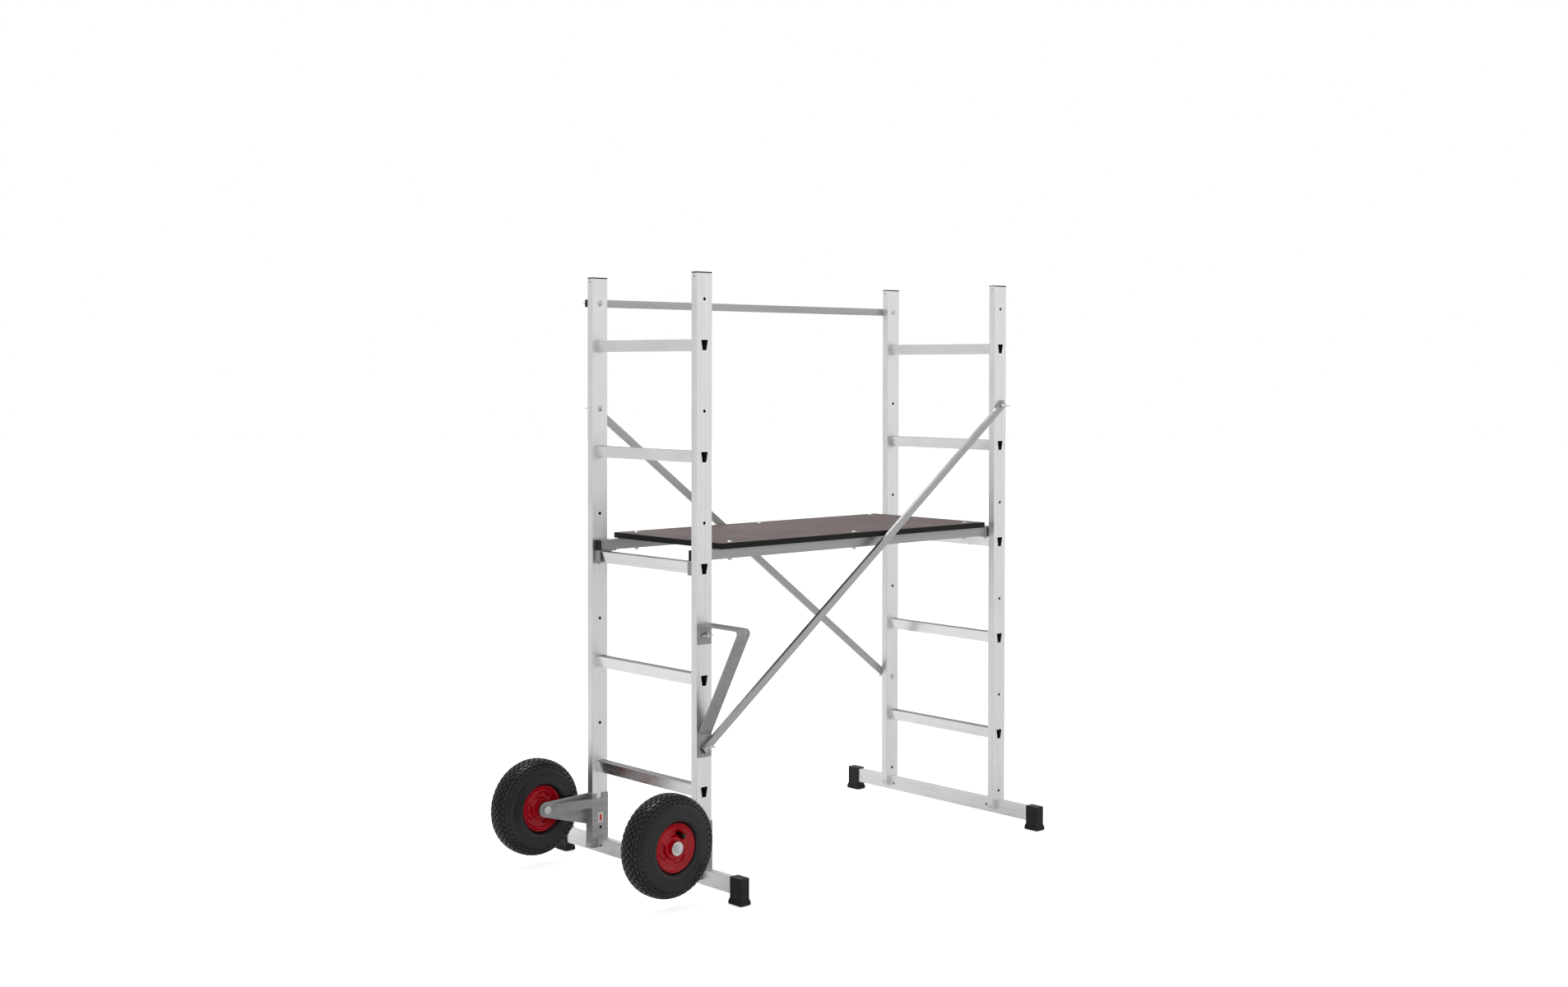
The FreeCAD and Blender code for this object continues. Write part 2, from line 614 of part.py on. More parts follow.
def rung_hook(side):
    """Steel angle under a rail's left end: it lies on the rung and its leg hangs outside it."""
    y = side * RAIL_CENTRE_Y
    half = RAIL_WIDTH / 2
    outside = MIDDLE_X - RAIL_END - HOOK_THICKNESS
    flange = box(outside, LEFT_X + HOOK_FLANGE, y - half, y + half, RUNG_TOP_OF_DECK, RAIL_BOTTOM_Z)
    leg = box(outside, outside + HOOK_THICKNESS, y - half, y + half, RAIL_BOTTOM_Z - HOOK_DROP, RAIL_BOTTOM_Z)
    hook = flange.fuse(leg).removeSplitter()
    bend = [e for e in hook.Edges if e.BoundBox.YLength > RAIL_WIDTH - 1 and e.BoundBox.XMax < outside + 0.01
            and e.BoundBox.ZMin > RAIL_BOTTOM_Z - 0.01]
    hook = hook.makeFillet(HOOK_THICKNESS - 0.2, bend)
    x = LEFT_X + HOOK_BOLT_INSET
    return hook.cut(rod(SMALL_BOLT_RADIUS, Vector(x, y, RUNG_TOP_OF_DECK), Vector(x, y, RAIL_BOTTOM_Z)))


def deck_bolt(x, y, head_z, nut_top_z):
    """Domed bolt down through the deck, ending just past its nut."""
    bolt = rod(SMALL_BOLT_RADIUS, Vector(x, y, head_z), Vector(x, y, nut_top_z - SMALL_NUT_HEIGHT - 1.5))
    return bolt.fuse(dome(SMALL_HEAD_RADIUS, SMALL_HEAD_HEIGHT, Vector(x, y, head_z), AXIS_Z))


def deck_nut(x, y, top_z):
    """Hexagon nut under a rail or a hook."""
    nut = hexagon(SMALL_NUT_FLATS, SMALL_NUT_HEIGHT, Vector(x, y, top_z - SMALL_NUT_HEIGHT), AXIS_Z)
    return nut.cut(rod(SMALL_BOLT_RADIUS, Vector(x, y, top_z - SMALL_NUT_HEIGHT), Vector(x, y, top_z)))


def make_deck():
    """The platform that hangs on the third rungs."""
    save("deck_board", deck_board())
    hooks = []
    plugs = []
    for side_name, side in SIDES:
        save("deck_rail_" + side_name, deck_rail(side))
        hook = rung_hook(side)
        plug = rail_plug(side)
        hooks += [hook, mirror_ladders(hook)]
        plugs += [plug, mirror_ladders(plug)]
    save("rung_hooks", *hooks)
    save("deck_rail_plugs", *plugs)
    bolts = [deck_bolt(x, y, DECK_TOP_Z, RAIL_BOTTOM_Z) for x, y in deck_bolt_places()]
    bolts += [deck_bolt(x, y, DECK_BOTTOM_Z, RUNG_TOP_OF_DECK) for x, y in hook_bolt_places()]
    save("deck_bolts", *bolts)
    nuts = [deck_nut(x, y, RAIL_BOTTOM_Z) for x, y in deck_bolt_places()]
    nuts += [deck_nut(x, y, RUNG_TOP_OF_DECK) for x, y in hook_bolt_places()]
    save("deck_nuts", *nuts)


# ---- wheels -------------------------------------------------------------------------------------
def tangent_point(corner, below):
    """Point where a line from the corner touches the bracket's eye, above or below the axle."""
    dx = corner.x - AXLE_X
    dz = corner.z - AXLE_Z
    distance = math.hypot(dx, dz)
    spread = math.acos(BRACKET_EYE_RADIUS / distance)
    angle = math.atan2(dz, dx) + (-spread if below else spread)
    x = AXLE_X + BRACKET_EYE_RADIUS * math.cos(angle)
    return Vector(x, corner.y, AXLE_Z + BRACKET_EYE_RADIUS * math.sin(angle))


def wheel_bracket():
    """Folded steel bracket round the foot of a left stile, with the arm that carries a wheel."""
    wall = BRACKET_WALL
    front = LEFT_X - STILE_WIDTH / 2
    back = LEFT_X + STILE_WIDTH / 2
    inner = box(front - wall, back, INNER_Y - wall, INNER_Y, STILE_BOTTOM_Z, BRACKET_TOP_Z)
    web = box(front - wall, front, INNER_Y - wall, OUTER_Y + wall, STILE_BOTTOM_Z, BRACKET_TOP_Z)
    outer = box(front - wall, back, OUTER_Y, OUTER_Y + wall, STILE_BOTTOM_Z, BRACKET_TOP_Z)
    top = Vector(front, OUTER_Y, BRACKET_TOP_Z)
    low = Vector(front, OUTER_Y, BRACKET_ARM_ROOT_Z)
    centre = Vector(AXLE_X, OUTER_Y, AXLE_Z)
    arm = face_of([top, tangent_point(top, False), centre, tangent_point(low, True), low])
    arm = arm.extrude(Vector(0, wall, 0))
    eye = Part.makeCylinder(BRACKET_EYE_RADIUS, wall, centre, AXIS_Y)
    strap_low = AXLE_Z - STRAP_HEIGHT / 2
    joint_x = AXLE_X + STRAP_END_BACK
    strap = face_of([
        Vector(front, INNER_Y - wall, strap_low),
        Vector(front - wall, INNER_Y - wall, strap_low),
        Vector(joint_x, OUTER_Y - wall / 2, strap_low),
        Vector(joint_x, OUTER_Y, strap_low),
        Vector(joint_x + 4 * wall, OUTER_Y, strap_low),
        Vector(front - wall, INNER_Y, strap_low),
        Vector(front, INNER_Y, strap_low),
    ]).extrude(Vector(0, 0, STRAP_HEIGHT))
    bracket = inner.fuse([web, outer, arm, eye, strap]).removeSplitter()
    notch_x = LEFT_X + BRACKET_NOTCH_OFFSET
    notch_half = BRACKET_NOTCH_WIDTH / 2
    notch_z = BRACKET_TOP_Z - BRACKET_NOTCH_DEPTH
    notch = box(notch_x - notch_half, notch_x + notch_half, INNER_Y - wall, OUTER_Y + wall, notch_z, BRACKET_TOP_Z)
    slot_half = CROSSBAR_WIDTH / 2 + 0.5
    slot_top = CROSSBAR_TOP_Z + 0.5
    slot = box(LEFT_X - slot_half, LEFT_X + slot_half, INNER_Y - wall, OUTER_Y + wall, STILE_BOTTOM_Z, slot_top)
    hole_height = hole_z(HOLE_COUNT - 1)
    start = Vector(LEFT_X, INNER_Y - wall, hole_height)
    bolt_hole = rod(BOLT_HOLE_RADIUS, start, Vector(LEFT_X, OUTER_Y + wall, hole_height))
    axle_hole = rod(AXLE_RADIUS, centre, centre + AXIS_Y * wall)
    rivet_hole = rod(RIVET_RADIUS, Vector(front - wall, STILE_Y, RIVET_Z), Vector(front, STILE_Y, RIVET_Z))
    return bracket.cut([notch, slot, bolt_hole, axle_hole, rivet_hole])


def half_circle_points(radius, offset, radial, axial, steps):
    """Outline of a tyre from one bead over the tread to the other, as (radius, offset) points."""
    points = []
    for index in range(steps + 1):
        angle = math.pi * index / steps
        flat = math.copysign(abs(math.cos(angle)) ** 0.72, math.cos(angle))
        points.append((radius + radial * math.sin(angle) ** 0.72, offset + axial * flat))
    return points


def tyre(centre_y):
    """Air tyre: carcass of even wall, open towards the rim."""
    base = TYRE_BEAD_RADIUS + 22
    outer = half_circle_points(base, 0, WHEEL_RADIUS - base, WHEEL_WIDTH / 2, 16)
    wall = TYRE_WALL
    inner = half_circle_points(base, 0, WHEEL_RADIUS - base - wall - 2, WHEEL_WIDTH / 2 - wall, 16)
    toe = TYRE_BEAD_SPREAD - BEAD_HALF_WIDTH
    heel = TYRE_BEAD_SPREAD + BEAD_HALF_WIDTH
    lip = RIM_FLANGE_RADIUS + 1
    outline = [(TYRE_BEAD_RADIUS, heel), (lip, heel)] + outer + [(lip, -heel), (TYRE_BEAD_RADIUS, -heel)]
    outline += [(TYRE_BEAD_RADIUS, -toe)] + inner[::-1] + [(TYRE_BEAD_RADIUS, toe)]
    return turned(outline, centre_y)


def inner_tube(centre_y):
    """Air tube, a thin closed ring inside the tyre."""
    ring_radius = (TYRE_BEAD_RADIUS + WHEEL_RADIUS) / 2 - 2
    centre = Vector(AXLE_X, centre_y, AXLE_Z)
    outside = Part.makeTorus(ring_radius, 27.0, centre, AXIS_Y)
    return outside.cut(Part.makeTorus(ring_radius, 25.0, centre, AXIS_Y))


def valve_rod(radius, first, last):
    """Round bar on the far valve's line, between two offsets from the wheel's middle plane."""
    angle = math.radians(VALVE_ANGLE)
    x = AXLE_X + VALVE_CIRCLE * math.cos(angle)
    z = AXLE_Z + VALVE_CIRCLE * math.sin(angle)
    return rod(radius, Vector(x, WHEEL_CENTRE_Y + first, z), Vector(x, WHEEL_CENTRE_Y + last, z))


def half_rim():
    """Pressed steel half of the far wheel's rim, on the +Y side of the wheel's middle plane."""
    seat = TYRE_BEAD_RADIUS
    wall = RIM_WALL
    rise = DISC_OFFSET + DISC_CROWN
    outline = [
        (RIM_FLANGE_RADIUS, RIM_FLANGE_OUT),
        (RIM_FLANGE_RADIUS, RIM_FLANGE_OUT - wall),
        (seat, RIM_FLANGE_OUT - wall - 0.5),
        (seat, RIM_SEAT_END),
        (RIM_WELL_RADIUS + wall, RIM_WELL_END),
        (RIM_WELL_RADIUS + wall, 0.0),
        (RIM_WELL_RADIUS, 0.0),
        (RIM_WELL_RADIUS, RIM_WELL_END + 1.0),
        (seat - wall, RIM_SEAT_END + 1.0),
        (seat - wall, DISC_OFFSET + wall),
        (DISC_FLAT_RADIUS, DISC_OFFSET),
        (DISC_CROWN_RADIUS, DISC_OFFSET),
        (DISC_CROWN_RADIUS - 6.0, rise),
        (HUB_RADIUS, rise),
        (HUB_RADIUS, rise + wall),
        (DISC_CROWN_RADIUS - 5.0, rise + wall),
        (DISC_CROWN_RADIUS + 1.0, DISC_OFFSET + wall),
        (DISC_FLAT_RADIUS, DISC_OFFSET + wall),
        (seat - wall, DISC_OFFSET + 2 * wall + 0.5),
        (seat - wall, RIM_FLANGE_OUT),
    ]
    return turned(outline, WHEEL_CENTRE_Y)


def rim():
    """Both halves of the far wheel's rim, the outer one with a hole for the valve."""
    outer = half_rim()
    inner = outer.mirror(Vector(0, WHEEL_CENTRE_Y, 0), AXIS_Y)
    return outer.cut(valve_rod(VALVE_RADIUS, VALVE_FOOT, VALVE_SHOULDER)), inner


def hub(centre_y):
    """Hub tube with a bearing seat at each end."""
    half = HUB_LENGTH / 2
    seat = half - BEARING_WIDTH
    outline = [
        (HUB_RADIUS, -half),
        (HUB_RADIUS, half),
        (BEARING_RADIUS, half),
        (BEARING_RADIUS, seat),
        (BEARING_RADIUS - 2, seat),
        (BEARING_RADIUS - 2, -seat),
        (BEARING_RADIUS, -seat),
        (BEARING_RADIUS, -half),
    ]
    return turned(outline, centre_y)


def bearing(centre_y, direction):
    """Shielded ball bearing at one end of the hub."""
    bore = AXLE_RADIUS + RUNNING_CLEARANCE
    end = direction * HUB_LENGTH / 2
    start = end - direction * BEARING_WIDTH
    dish = direction * 0.8
    outline = [
        (bore, start),
        (BEARING_RADIUS, start),
        (BEARING_RADIUS, end),
        (BEARING_RADIUS - 3, end),
        (BEARING_RADIUS - 3, end - dish),
        (bore + 3, end - dish),
        (bore + 3, end),
        (bore, end),
    ]
    return turned(outline, centre_y)


def valve():
    """Valve stem through the disc of the far rim, with its cap."""
    stem = valve_rod(VALVE_RADIUS, VALVE_FOOT, VALVE_SHOULDER)
    return stem.fuse(valve_rod(VALVE_RADIUS + 1, VALVE_SHOULDER, VALVE_END)).removeSplitter()


def axle_bolt():
    """Hexagon bolt through bracket, spacer and hub, on the far side."""
    head = hexagon(19.0, 7.5, Vector(AXLE_X, OUTER_Y - 7.5, AXLE_Z), AXIS_Y)
    end_y = WHEEL_CENTRE_Y + HUB_LENGTH / 2 + 12
    return head.fuse(rod(AXLE_RADIUS, Vector(AXLE_X, OUTER_Y, AXLE_Z), Vector(AXLE_X, end_y, AXLE_Z)))


def axle_ring(radius, start_y, end_y):
    """Ring on the axle between two Y on the far side."""
    start = Vector(AXLE_X, start_y, AXLE_Z)
    end = Vector(AXLE_X, end_y, AXLE_Z)
    return rod(radius, start, end).cut(rod(AXLE_RADIUS, start, end))


def axle_nut(start_y):
    """Hexagon nut that closes the axle on the far side."""
    base = Vector(AXLE_X, start_y, AXLE_Z)
    return hexagon(19.0, 6.0, base, AXIS_Y).cut(rod(AXLE_RADIUS, base, base + AXIS_Y * 6.0))


def make_wheels():
    """Both wheels with their brackets, axles and bearings."""
    bracket = wheel_bracket()
    gap = 0.3
    hub_outer_end = WHEEL_CENTRE_Y + HUB_LENGTH / 2
    washer_end = hub_outer_end + gap + 3.0
    spacer = axle_ring(SPACER_RADIUS, OUTER_Y + BRACKET_WALL, HUB_END - gap)
    washer = axle_ring(HUB_RADIUS - 1, hub_outer_end + gap, washer_end)
    for name, mate in (("axle_bolts", axle_bolt()), ("axle_spacers", spacer), ("axle_washers", washer),
                       ("axle_nuts", axle_nut(washer_end))):
        save(name, mirror_y(mate), mate)
    for side_name, side in SIDES:
        centre_y = side * WHEEL_CENTRE_Y
        save("wheel_bracket_" + side_name, on_side(bracket, side))
        save("tyre_" + side_name, tyre(centre_y))
        save("inner_tube_" + side_name, inner_tube(centre_y))
        save("rim_" + side_name, *[on_side(half, side) for half in rim()])
        save("hub_" + side_name, hub(centre_y))
        save("bearings_" + side_name, bearing(centre_y, -1), bearing(centre_y, 1))
        save("valve_" + side_name, on_side(valve(), side))


os.makedirs("parts", exist_ok=True)
make_ladders()
make_stiffeners()
make_deck()
make_wheels()
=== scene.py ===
"""Looks of a small rolling frame scaffold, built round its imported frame.

Two rung ladders stand on crossbars with rubber feet.  A deck hangs between them, a guard rail and two
braces stiffen them, and a push handle and two air wheels let one person roll the scaffold about.
Lengths are in metres, in the frame's own axes: +Z up, +X from the wheels to the plain ladder, and +Y
from the push handle to the guard rail.
"""

import json
import logging
import math
from collections.abc import Sequence
from dataclasses import dataclass, field
from enum import Enum

import bmesh
import bpy
from mathutils import Matrix, Vector

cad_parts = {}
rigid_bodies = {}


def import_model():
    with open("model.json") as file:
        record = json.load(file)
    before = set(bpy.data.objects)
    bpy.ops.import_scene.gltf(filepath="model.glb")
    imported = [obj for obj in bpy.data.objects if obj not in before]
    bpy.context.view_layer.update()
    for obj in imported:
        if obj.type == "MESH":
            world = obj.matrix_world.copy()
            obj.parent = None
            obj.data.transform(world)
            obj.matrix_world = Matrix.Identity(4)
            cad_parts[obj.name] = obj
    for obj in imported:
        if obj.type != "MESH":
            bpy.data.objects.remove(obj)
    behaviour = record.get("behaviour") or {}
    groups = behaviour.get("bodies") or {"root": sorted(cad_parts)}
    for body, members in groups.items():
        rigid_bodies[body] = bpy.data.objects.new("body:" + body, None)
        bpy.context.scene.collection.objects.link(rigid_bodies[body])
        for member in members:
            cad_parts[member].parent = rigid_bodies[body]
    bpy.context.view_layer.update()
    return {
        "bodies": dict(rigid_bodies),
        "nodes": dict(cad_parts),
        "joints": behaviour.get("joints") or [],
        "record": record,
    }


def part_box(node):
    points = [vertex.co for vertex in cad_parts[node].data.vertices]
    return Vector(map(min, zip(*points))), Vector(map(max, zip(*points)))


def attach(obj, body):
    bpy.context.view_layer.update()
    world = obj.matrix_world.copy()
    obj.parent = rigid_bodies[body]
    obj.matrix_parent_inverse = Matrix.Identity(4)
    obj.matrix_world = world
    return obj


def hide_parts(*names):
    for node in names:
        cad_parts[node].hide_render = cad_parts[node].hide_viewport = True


LOG = logging.getLogger("scaffold")
MM = 0.001
MERGE = 0.01 * MM
LONG = 15.0 * MM
SHARP_EDGE = math.radians(30)
FULL_TURN = 2.0 * math.pi
FACING = 0.7  # a face looks along an axis when its normal has at least this share of it

Colour = tuple[float, float, float, float]
Pair = tuple[float, float]
Profile = list[Pair]
Outline = tuple[Pair, ...]
Triple = tuple[float, float, float]
Node = bpy.types.Node
Socket = bpy.types.NodeSocket
Tree = bpy.types.NodeTree
Material = bpy.types.Material
Mesh = bpy.types.Mesh
Shape = bmesh.types.BMesh
Value = float | Socket
Tint = Colour | Socket


def linear(red: float, green: float, blue: float) -> Colour:
    """Opaque colour from linear red, green and blue."""
    return (red, green, blue, 1.0)


class Grain(Enum):
    """Direction in which a metal was drawn or rolled, as unit lengths along X, Y and Z."""

    ALONG_X = (1, 0, 0)
    ALONG_Y = (0, 1, 0)
    ALONG_Z = (0, 0, 1)


# ---- shader graphs ------------------------------------------------------------------------------
class Graph:
    """A node tree with short calls for adding and joining nodes."""

    def __init__(self, tree: Tree) -> None:
        """Start on an empty tree.

        Args:
            tree: The node tree to fill.
        """
        self.tree = tree
        tree.nodes.clear()

    def add(self, kind: str, settings: dict | None = None, inputs: dict | None = None) -> Node:
        """Add a node.

        Args:
            kind: The node's type name.
            settings: Its own properties.
            inputs: What each input takes, a value or another node's output, by name or index.

        Returns:
            The new node.
        """
        node = self.tree.nodes.new(kind)
        for name, value in (settings or {}).items():
            setattr(node, name, value)
        for name, value in (inputs or {}).items():
            if isinstance(value, Socket):
                self.tree.links.new(value, node.inputs[name])
            else:
                node.inputs[name].default_value = value
        return node

    def noise(self, vector: Socket, scale: float, detail: float) -> Socket:
        """Fractal noise from 0 to 1 at a place."""
        inputs = {"Vector": vector, "Scale": scale, "Detail": detail, "Roughness": 0.6}
        return self.add("ShaderNodeTexNoise", inputs=inputs).outputs[0]

    def spread(self, value: Socket, low: float, high: float, to_low: Value = 0.0, to_high: Value = 1.0) -> Socket:
        """Stretch the part of a value between low and high over a new range."""
        inputs = {"Value": value, "From Min": low, "From Max": high, "To Min": to_low, "To Max": to_high}
        return self.add("ShaderNodeMapRange", inputs=inputs).outputs[0]

    def math(self, operation: str, first: Value, second: Value) -> Socket:
        """Sum, product or other operation on two values."""
        return self.add("ShaderNodeMath", {"operation": operation}, {0: first, 1: second}).outputs[0]

    def weigh(self, first: Socket, share: float, second: Socket, rest: float) -> Socket:
        """Sum of two values, each times its own share."""
        return self.math("ADD", self.math("MULTIPLY", first, share), self.math("MULTIPLY", second, rest))

    def blend(self, factor: Socket, first: Tint, second: Tint) -> Socket:
        """Colour between two colours."""
        inputs = {0: factor, 6: first, 7: second}
        return self.add("ShaderNodeMix", {"data_type": "RGBA"}, inputs).outputs[2]

    def bump(self, height: Socket, strength: Value, depth: float) -> Socket:
        """Surface normal that follows a height of up to depth metres."""
        inputs = {"Strength": strength, "Distance": depth, "Height": height}
        return self.add("ShaderNodeBump", inputs=inputs).outputs[0]


class SharedEffects:
    """Node groups that several materials use, each built once."""

    SURFACE_INPUTS = (("Place", "NodeSocketVector"), ("Smooth", "NodeSocketFloat"), ("Rough", "NodeSocketFloat"),
                      ("Relief", "NodeSocketFloat"))
    SURFACE_OUTPUTS = (("Color", "NodeSocketColor"), ("Roughness", "NodeSocketFloat"), ("Normal", "NodeSocketVector"))
    MARK_SCALE = 9.0
    GRAIN_SCALE = 1800.0
    PATCH_SCALE = 28.0
    LINE_DEPTH = 0.15 * MM
    GRAIN_DEPTH = 0.2 * MM

    def __init__(self) -> None:
        """Build every group."""
        self.drawn = self._drawn_metal()
        self.moulded = self._moulded_skin()
        self.wire_mesh = self._wire_mesh()

    @staticmethod
    def _group(name: str, inputs: Sequence[tuple[str, str]], outputs: Sequence[tuple[str, str]]
               ) -> tuple[Graph, Node, Node]:
        """Start a group with its sockets.

        Args:
            name: The group's name.
            inputs: Name and socket type of each input.
            outputs: Name and socket type of each output.

        Returns:
            The group's graph, its input node and its output node.
        """
        tree = bpy.data.node_groups.new(name, "ShaderNodeTree")
        for label, kind in inputs:
            tree.interface.new_socket(name=label, in_out="INPUT", socket_type=kind)
        for label, kind in outputs:
            tree.interface.new_socket(name=label, in_out="OUTPUT", socket_type=kind)
        graph = Graph(tree)
        return graph, graph.add("NodeGroupInput"), graph.add("NodeGroupOutput")

    @staticmethod
    def _finish_group(graph: Graph, start: Node, end: Node, color: Socket, wear: Socket, height: Socket,
                      depth: float) -> Tree:
        """Join a surface group's results to its outputs.

        Args:
            graph: The group's graph.
            start: Its input node.
            end: Its output node.
            color: Colour of the surface.
            wear: Where the roughness stands between Smooth and Rough.
            height: Height of the relief.
            depth: Depth of the relief, in metres.

        Returns:
            The finished group.
        """
        roughness = graph.spread(wear, 0.0, 1.0, start.outputs["Smooth"], start.outputs["Rough"])
        normal = graph.bump(height, start.outputs["Relief"], depth)
        for name, socket in (("Color", color), ("Roughness", roughness), ("Normal", normal)):
            graph.tree.links.new(socket, end.inputs[name])
        return graph.tree

    def _drawn_metal(self) -> Tree:
        """Fine lines along the metal, with handling marks over them.

        Returns:
            The group.
        """
        sockets = (("Streak Place", "NodeSocketVector"), ("Light", "NodeSocketColor"), ("Dark", "NodeSocketColor"))
        graph, start, end = self._group("drawn_metal", sockets + self.SURFACE_INPUTS, self.SURFACE_OUTPUTS)
        lines = graph.noise(start.outputs["Streak Place"], 1.0, 5.0)
        streak = graph.spread(lines, 0.3, 0.7)
        smudge = graph.spread(graph.noise(start.outputs["Place"], self.MARK_SCALE, 3.0), 0.35, 0.65)
        tone = graph.weigh(streak, 0.7, smudge, 0.3)
        color = graph.blend(tone, start.outputs["Dark"], start.outputs["Light"])
        return self._finish_group(graph, start, end, color, graph.weigh(streak, 0.4, smudge, 0.6), lines,
                                  self.LINE_DEPTH)

    def _moulded_skin(self) -> Tree:
        """Grained skin of rubber or plastic with pale dust in patches.

        Returns:
            The group.
        """
        sockets = (("Base", "NodeSocketColor"), ("Dusty", "NodeSocketColor"))
        graph, start, end = self._group("moulded_skin", sockets + self.SURFACE_INPUTS, self.SURFACE_OUTPUTS)
        grain = graph.noise(start.outputs["Place"], self.GRAIN_SCALE, 2.0)
        patches = graph.spread(graph.noise(start.outputs["Place"], self.PATCH_SCALE, 4.0), 0.42, 0.72)
        color = graph.blend(patches, start.outputs["Base"], start.outputs["Dusty"])
        return self._finish_group(graph, start, end, color, graph.weigh(patches, 0.6, grain, 0.4), grain,
                                  self.GRAIN_DEPTH)

    def _wire_mesh(self) -> Tree:
        """Imprint of a woven wire mesh, as a mask that is 1 on the wires.

        Returns:
            The group.
        """
        graph, start, end = self._group("wire_mesh", (("Place", "NodeSocketVector"), ("Scale", "NodeSocketFloat")),
                                        (("Mask", "NodeSocketFloat"),))
        turned = graph.add("ShaderNodeMapping", inputs={"Vector": start.outputs["Place"],
                                                        "Rotation": (0.0, 0.0, math.radians(45))})
        wires = []
        for direction in ("X", "Y"):
            wave = graph.add("ShaderNodeTexWave", {"bands_direction": direction},
                             {"Vector": turned.outputs[0], "Scale": start.outputs["Scale"], "Distortion": 0.0})
            wires.append(wave.outputs[1])
        crest = graph.math("MAXIMUM", wires[0], wires[1])
        graph.tree.links.new(graph.spread(crest, 0.55, 0.95), end.inputs["Mask"])
        return graph.tree


# ---- finishes -----------------------------------------------------------------------------------
@dataclass(frozen=True)
class Ground:
    """What a surface is drawn on: its graph, object coordinates, the shared groups, and the grain's direction."""

    graph: Graph
    place: Socket
    effects: SharedEffects
    grain: Grain
    slope: float


@dataclass(frozen=True)
class Finish:
    """What every finish has: its name and the constant values of its surface."""

    name: str
    metallic: float = 0.0
    specular: float = 0.5
    coat: float = 0.0
    coat_roughness: float = 0.05

    def variant(self, grain: Grain, slope: float) -> str:
        """What a material's name adds to the finish's for a grain and a slope."""
        return ""

    def surface(self, on: Ground) -> Sequence[Socket]:
        """Colour, roughness and normal of the surface."""
        raise NotImplementedError

    def material(self, effects: SharedEffects, grain: Grain, slope: float = 0.0) -> Material:
        """Make the material.

        Args:
            effects: The shared node groups.
            grain: Direction of the lines, where the finish has any.
            slope: Turn of the lines about the Y axis, for a slanting tube.

        Returns:
            The new material.
        """
        material = bpy.data.materials.new(self.name + self.variant(grain, slope))
        material.use_nodes = True
        graph = Graph(material.node_tree)
        shader = graph.add("ShaderNodeBsdfPrincipled", inputs={
            "Metallic": self.metallic, "Specular IOR Level": self.specular, "Coat Weight": self.coat,
            "Coat Roughness": self.coat_roughness})
        graph.add("ShaderNodeOutputMaterial", inputs={"Surface": shader.outputs[0]})
        place = graph.add("ShaderNodeTexCoord").outputs["Object"]
        outputs = self.surface(Ground(graph, place, effects, grain, slope))
        for socket, target in zip(outputs, ("Base Color", "Roughness", "Normal")):
            graph.tree.links.new(socket, shader.inputs[target])
        return material


@dataclass(frozen=True)
class DrawnMetal(Finish):
    """Tube or sheet with fine lines in the direction it was drawn."""

    metallic: float = 1.0
    light: Colour = linear(0.88, 0.88, 0.89)
    dark: Colour = linear(0.7, 0.705, 0.715)
    smooth: float = 0.3
    rough: float = 0.5
    relief: float = 0.25
    line_width: float = 5.0 * MM
    line_length: float = 700.0 * MM

    def variant(self, grain: Grain, slope: float) -> str:
        """Name of the grain, and whether it slopes."""
        return "_" + grain.name.lower() + ("_sloped" if slope else "")

    def surface(self, on: Ground) -> Sequence[Socket]:
        """Lines along the grain.

        Args:
            on: What it is drawn on.

        Returns:
            Its colour, roughness and normal.
        """
        size = [self.line_length if along else self.line_width for along in on.grain.value]
        streaks = on.graph.add("ShaderNodeMapping", {"vector_type": "TEXTURE"},
                               {"Vector": on.place, "Rotation": (0.0, on.slope, 0.0), "Scale": size})
        return on.graph.add("ShaderNodeGroup", {"node_tree": on.effects.drawn}, {
            "Streak Place": streaks.outputs[0], "Place": on.place, "Light": self.light, "Dark": self.dark,
            "Smooth": self.smooth, "Rough": self.rough, "Relief": self.relief}).outputs[:]


@dataclass(frozen=True)
class MouldedSkin(Finish):
    """Rubber, plastic or enamel with a fine skin."""

    base: Colour = linear(0.02, 0.02, 0.021)
    dusty: Colour = linear(0.035, 0.035, 0.036)
    smooth: float = 0.4
    rough: float = 0.6
    relief: float = 0.2

    def surface(self, on: Ground) -> Sequence[Socket]:
        """Skin with dust, the same in every direction.

        Args:
            on: What it is drawn on.

        Returns:
            Its colour, roughness and normal.
        """
        return on.graph.add("ShaderNodeGroup", {"node_tree": on.effects.moulded}, {
            "Place": on.place, "Base": self.base, "Dusty": self.dusty, "Smooth": self.smooth, "Rough": self.rough,
            "Relief": self.relief}).outputs[:]


@dataclass(frozen=True)
class FilmBoard(Finish):
    """Phenolic film with the imprint of a wire mesh."""

    film: Colour = linear(0.08, 0.054, 0.052)
    wire: Colour = linear(0.165, 0.122, 0.116)
    smooth: float = 0.45
    rough: float = 0.62
    mesh_scale: float = 70.0
    scuff_scale: float = 6.0
    imprint_depth: float = 0.35 * MM

    def surface(self, on: Ground) -> Sequence[Socket]:
        """Imprinted wires, with scuffs that dull them.

        Args:
            on: What it is drawn on.

        Returns:
            Its colour, roughness and normal.
        """
        mesh = on.graph.add("ShaderNodeGroup", {"node_tree": on.effects.wire_mesh},
                            {"Place": on.place, "Scale": self.mesh_scale}).outputs["Mask"]
        scuffs = on.graph.spread(on.graph.noise(on.place, self.scuff_scale, 5.0), 0.4, 0.7)
        wires = on.graph.math("MULTIPLY", mesh, on.graph.spread(scuffs, 0.0, 1.0, 0.55, 1.0))
        color = on.graph.blend(wires, self.film, self.wire)
        roughness = on.graph.spread(scuffs, 0.0, 1.0, self.smooth, self.rough)
        return color, roughness, on.graph.bump(mesh, 0.8, self.imprint_depth)


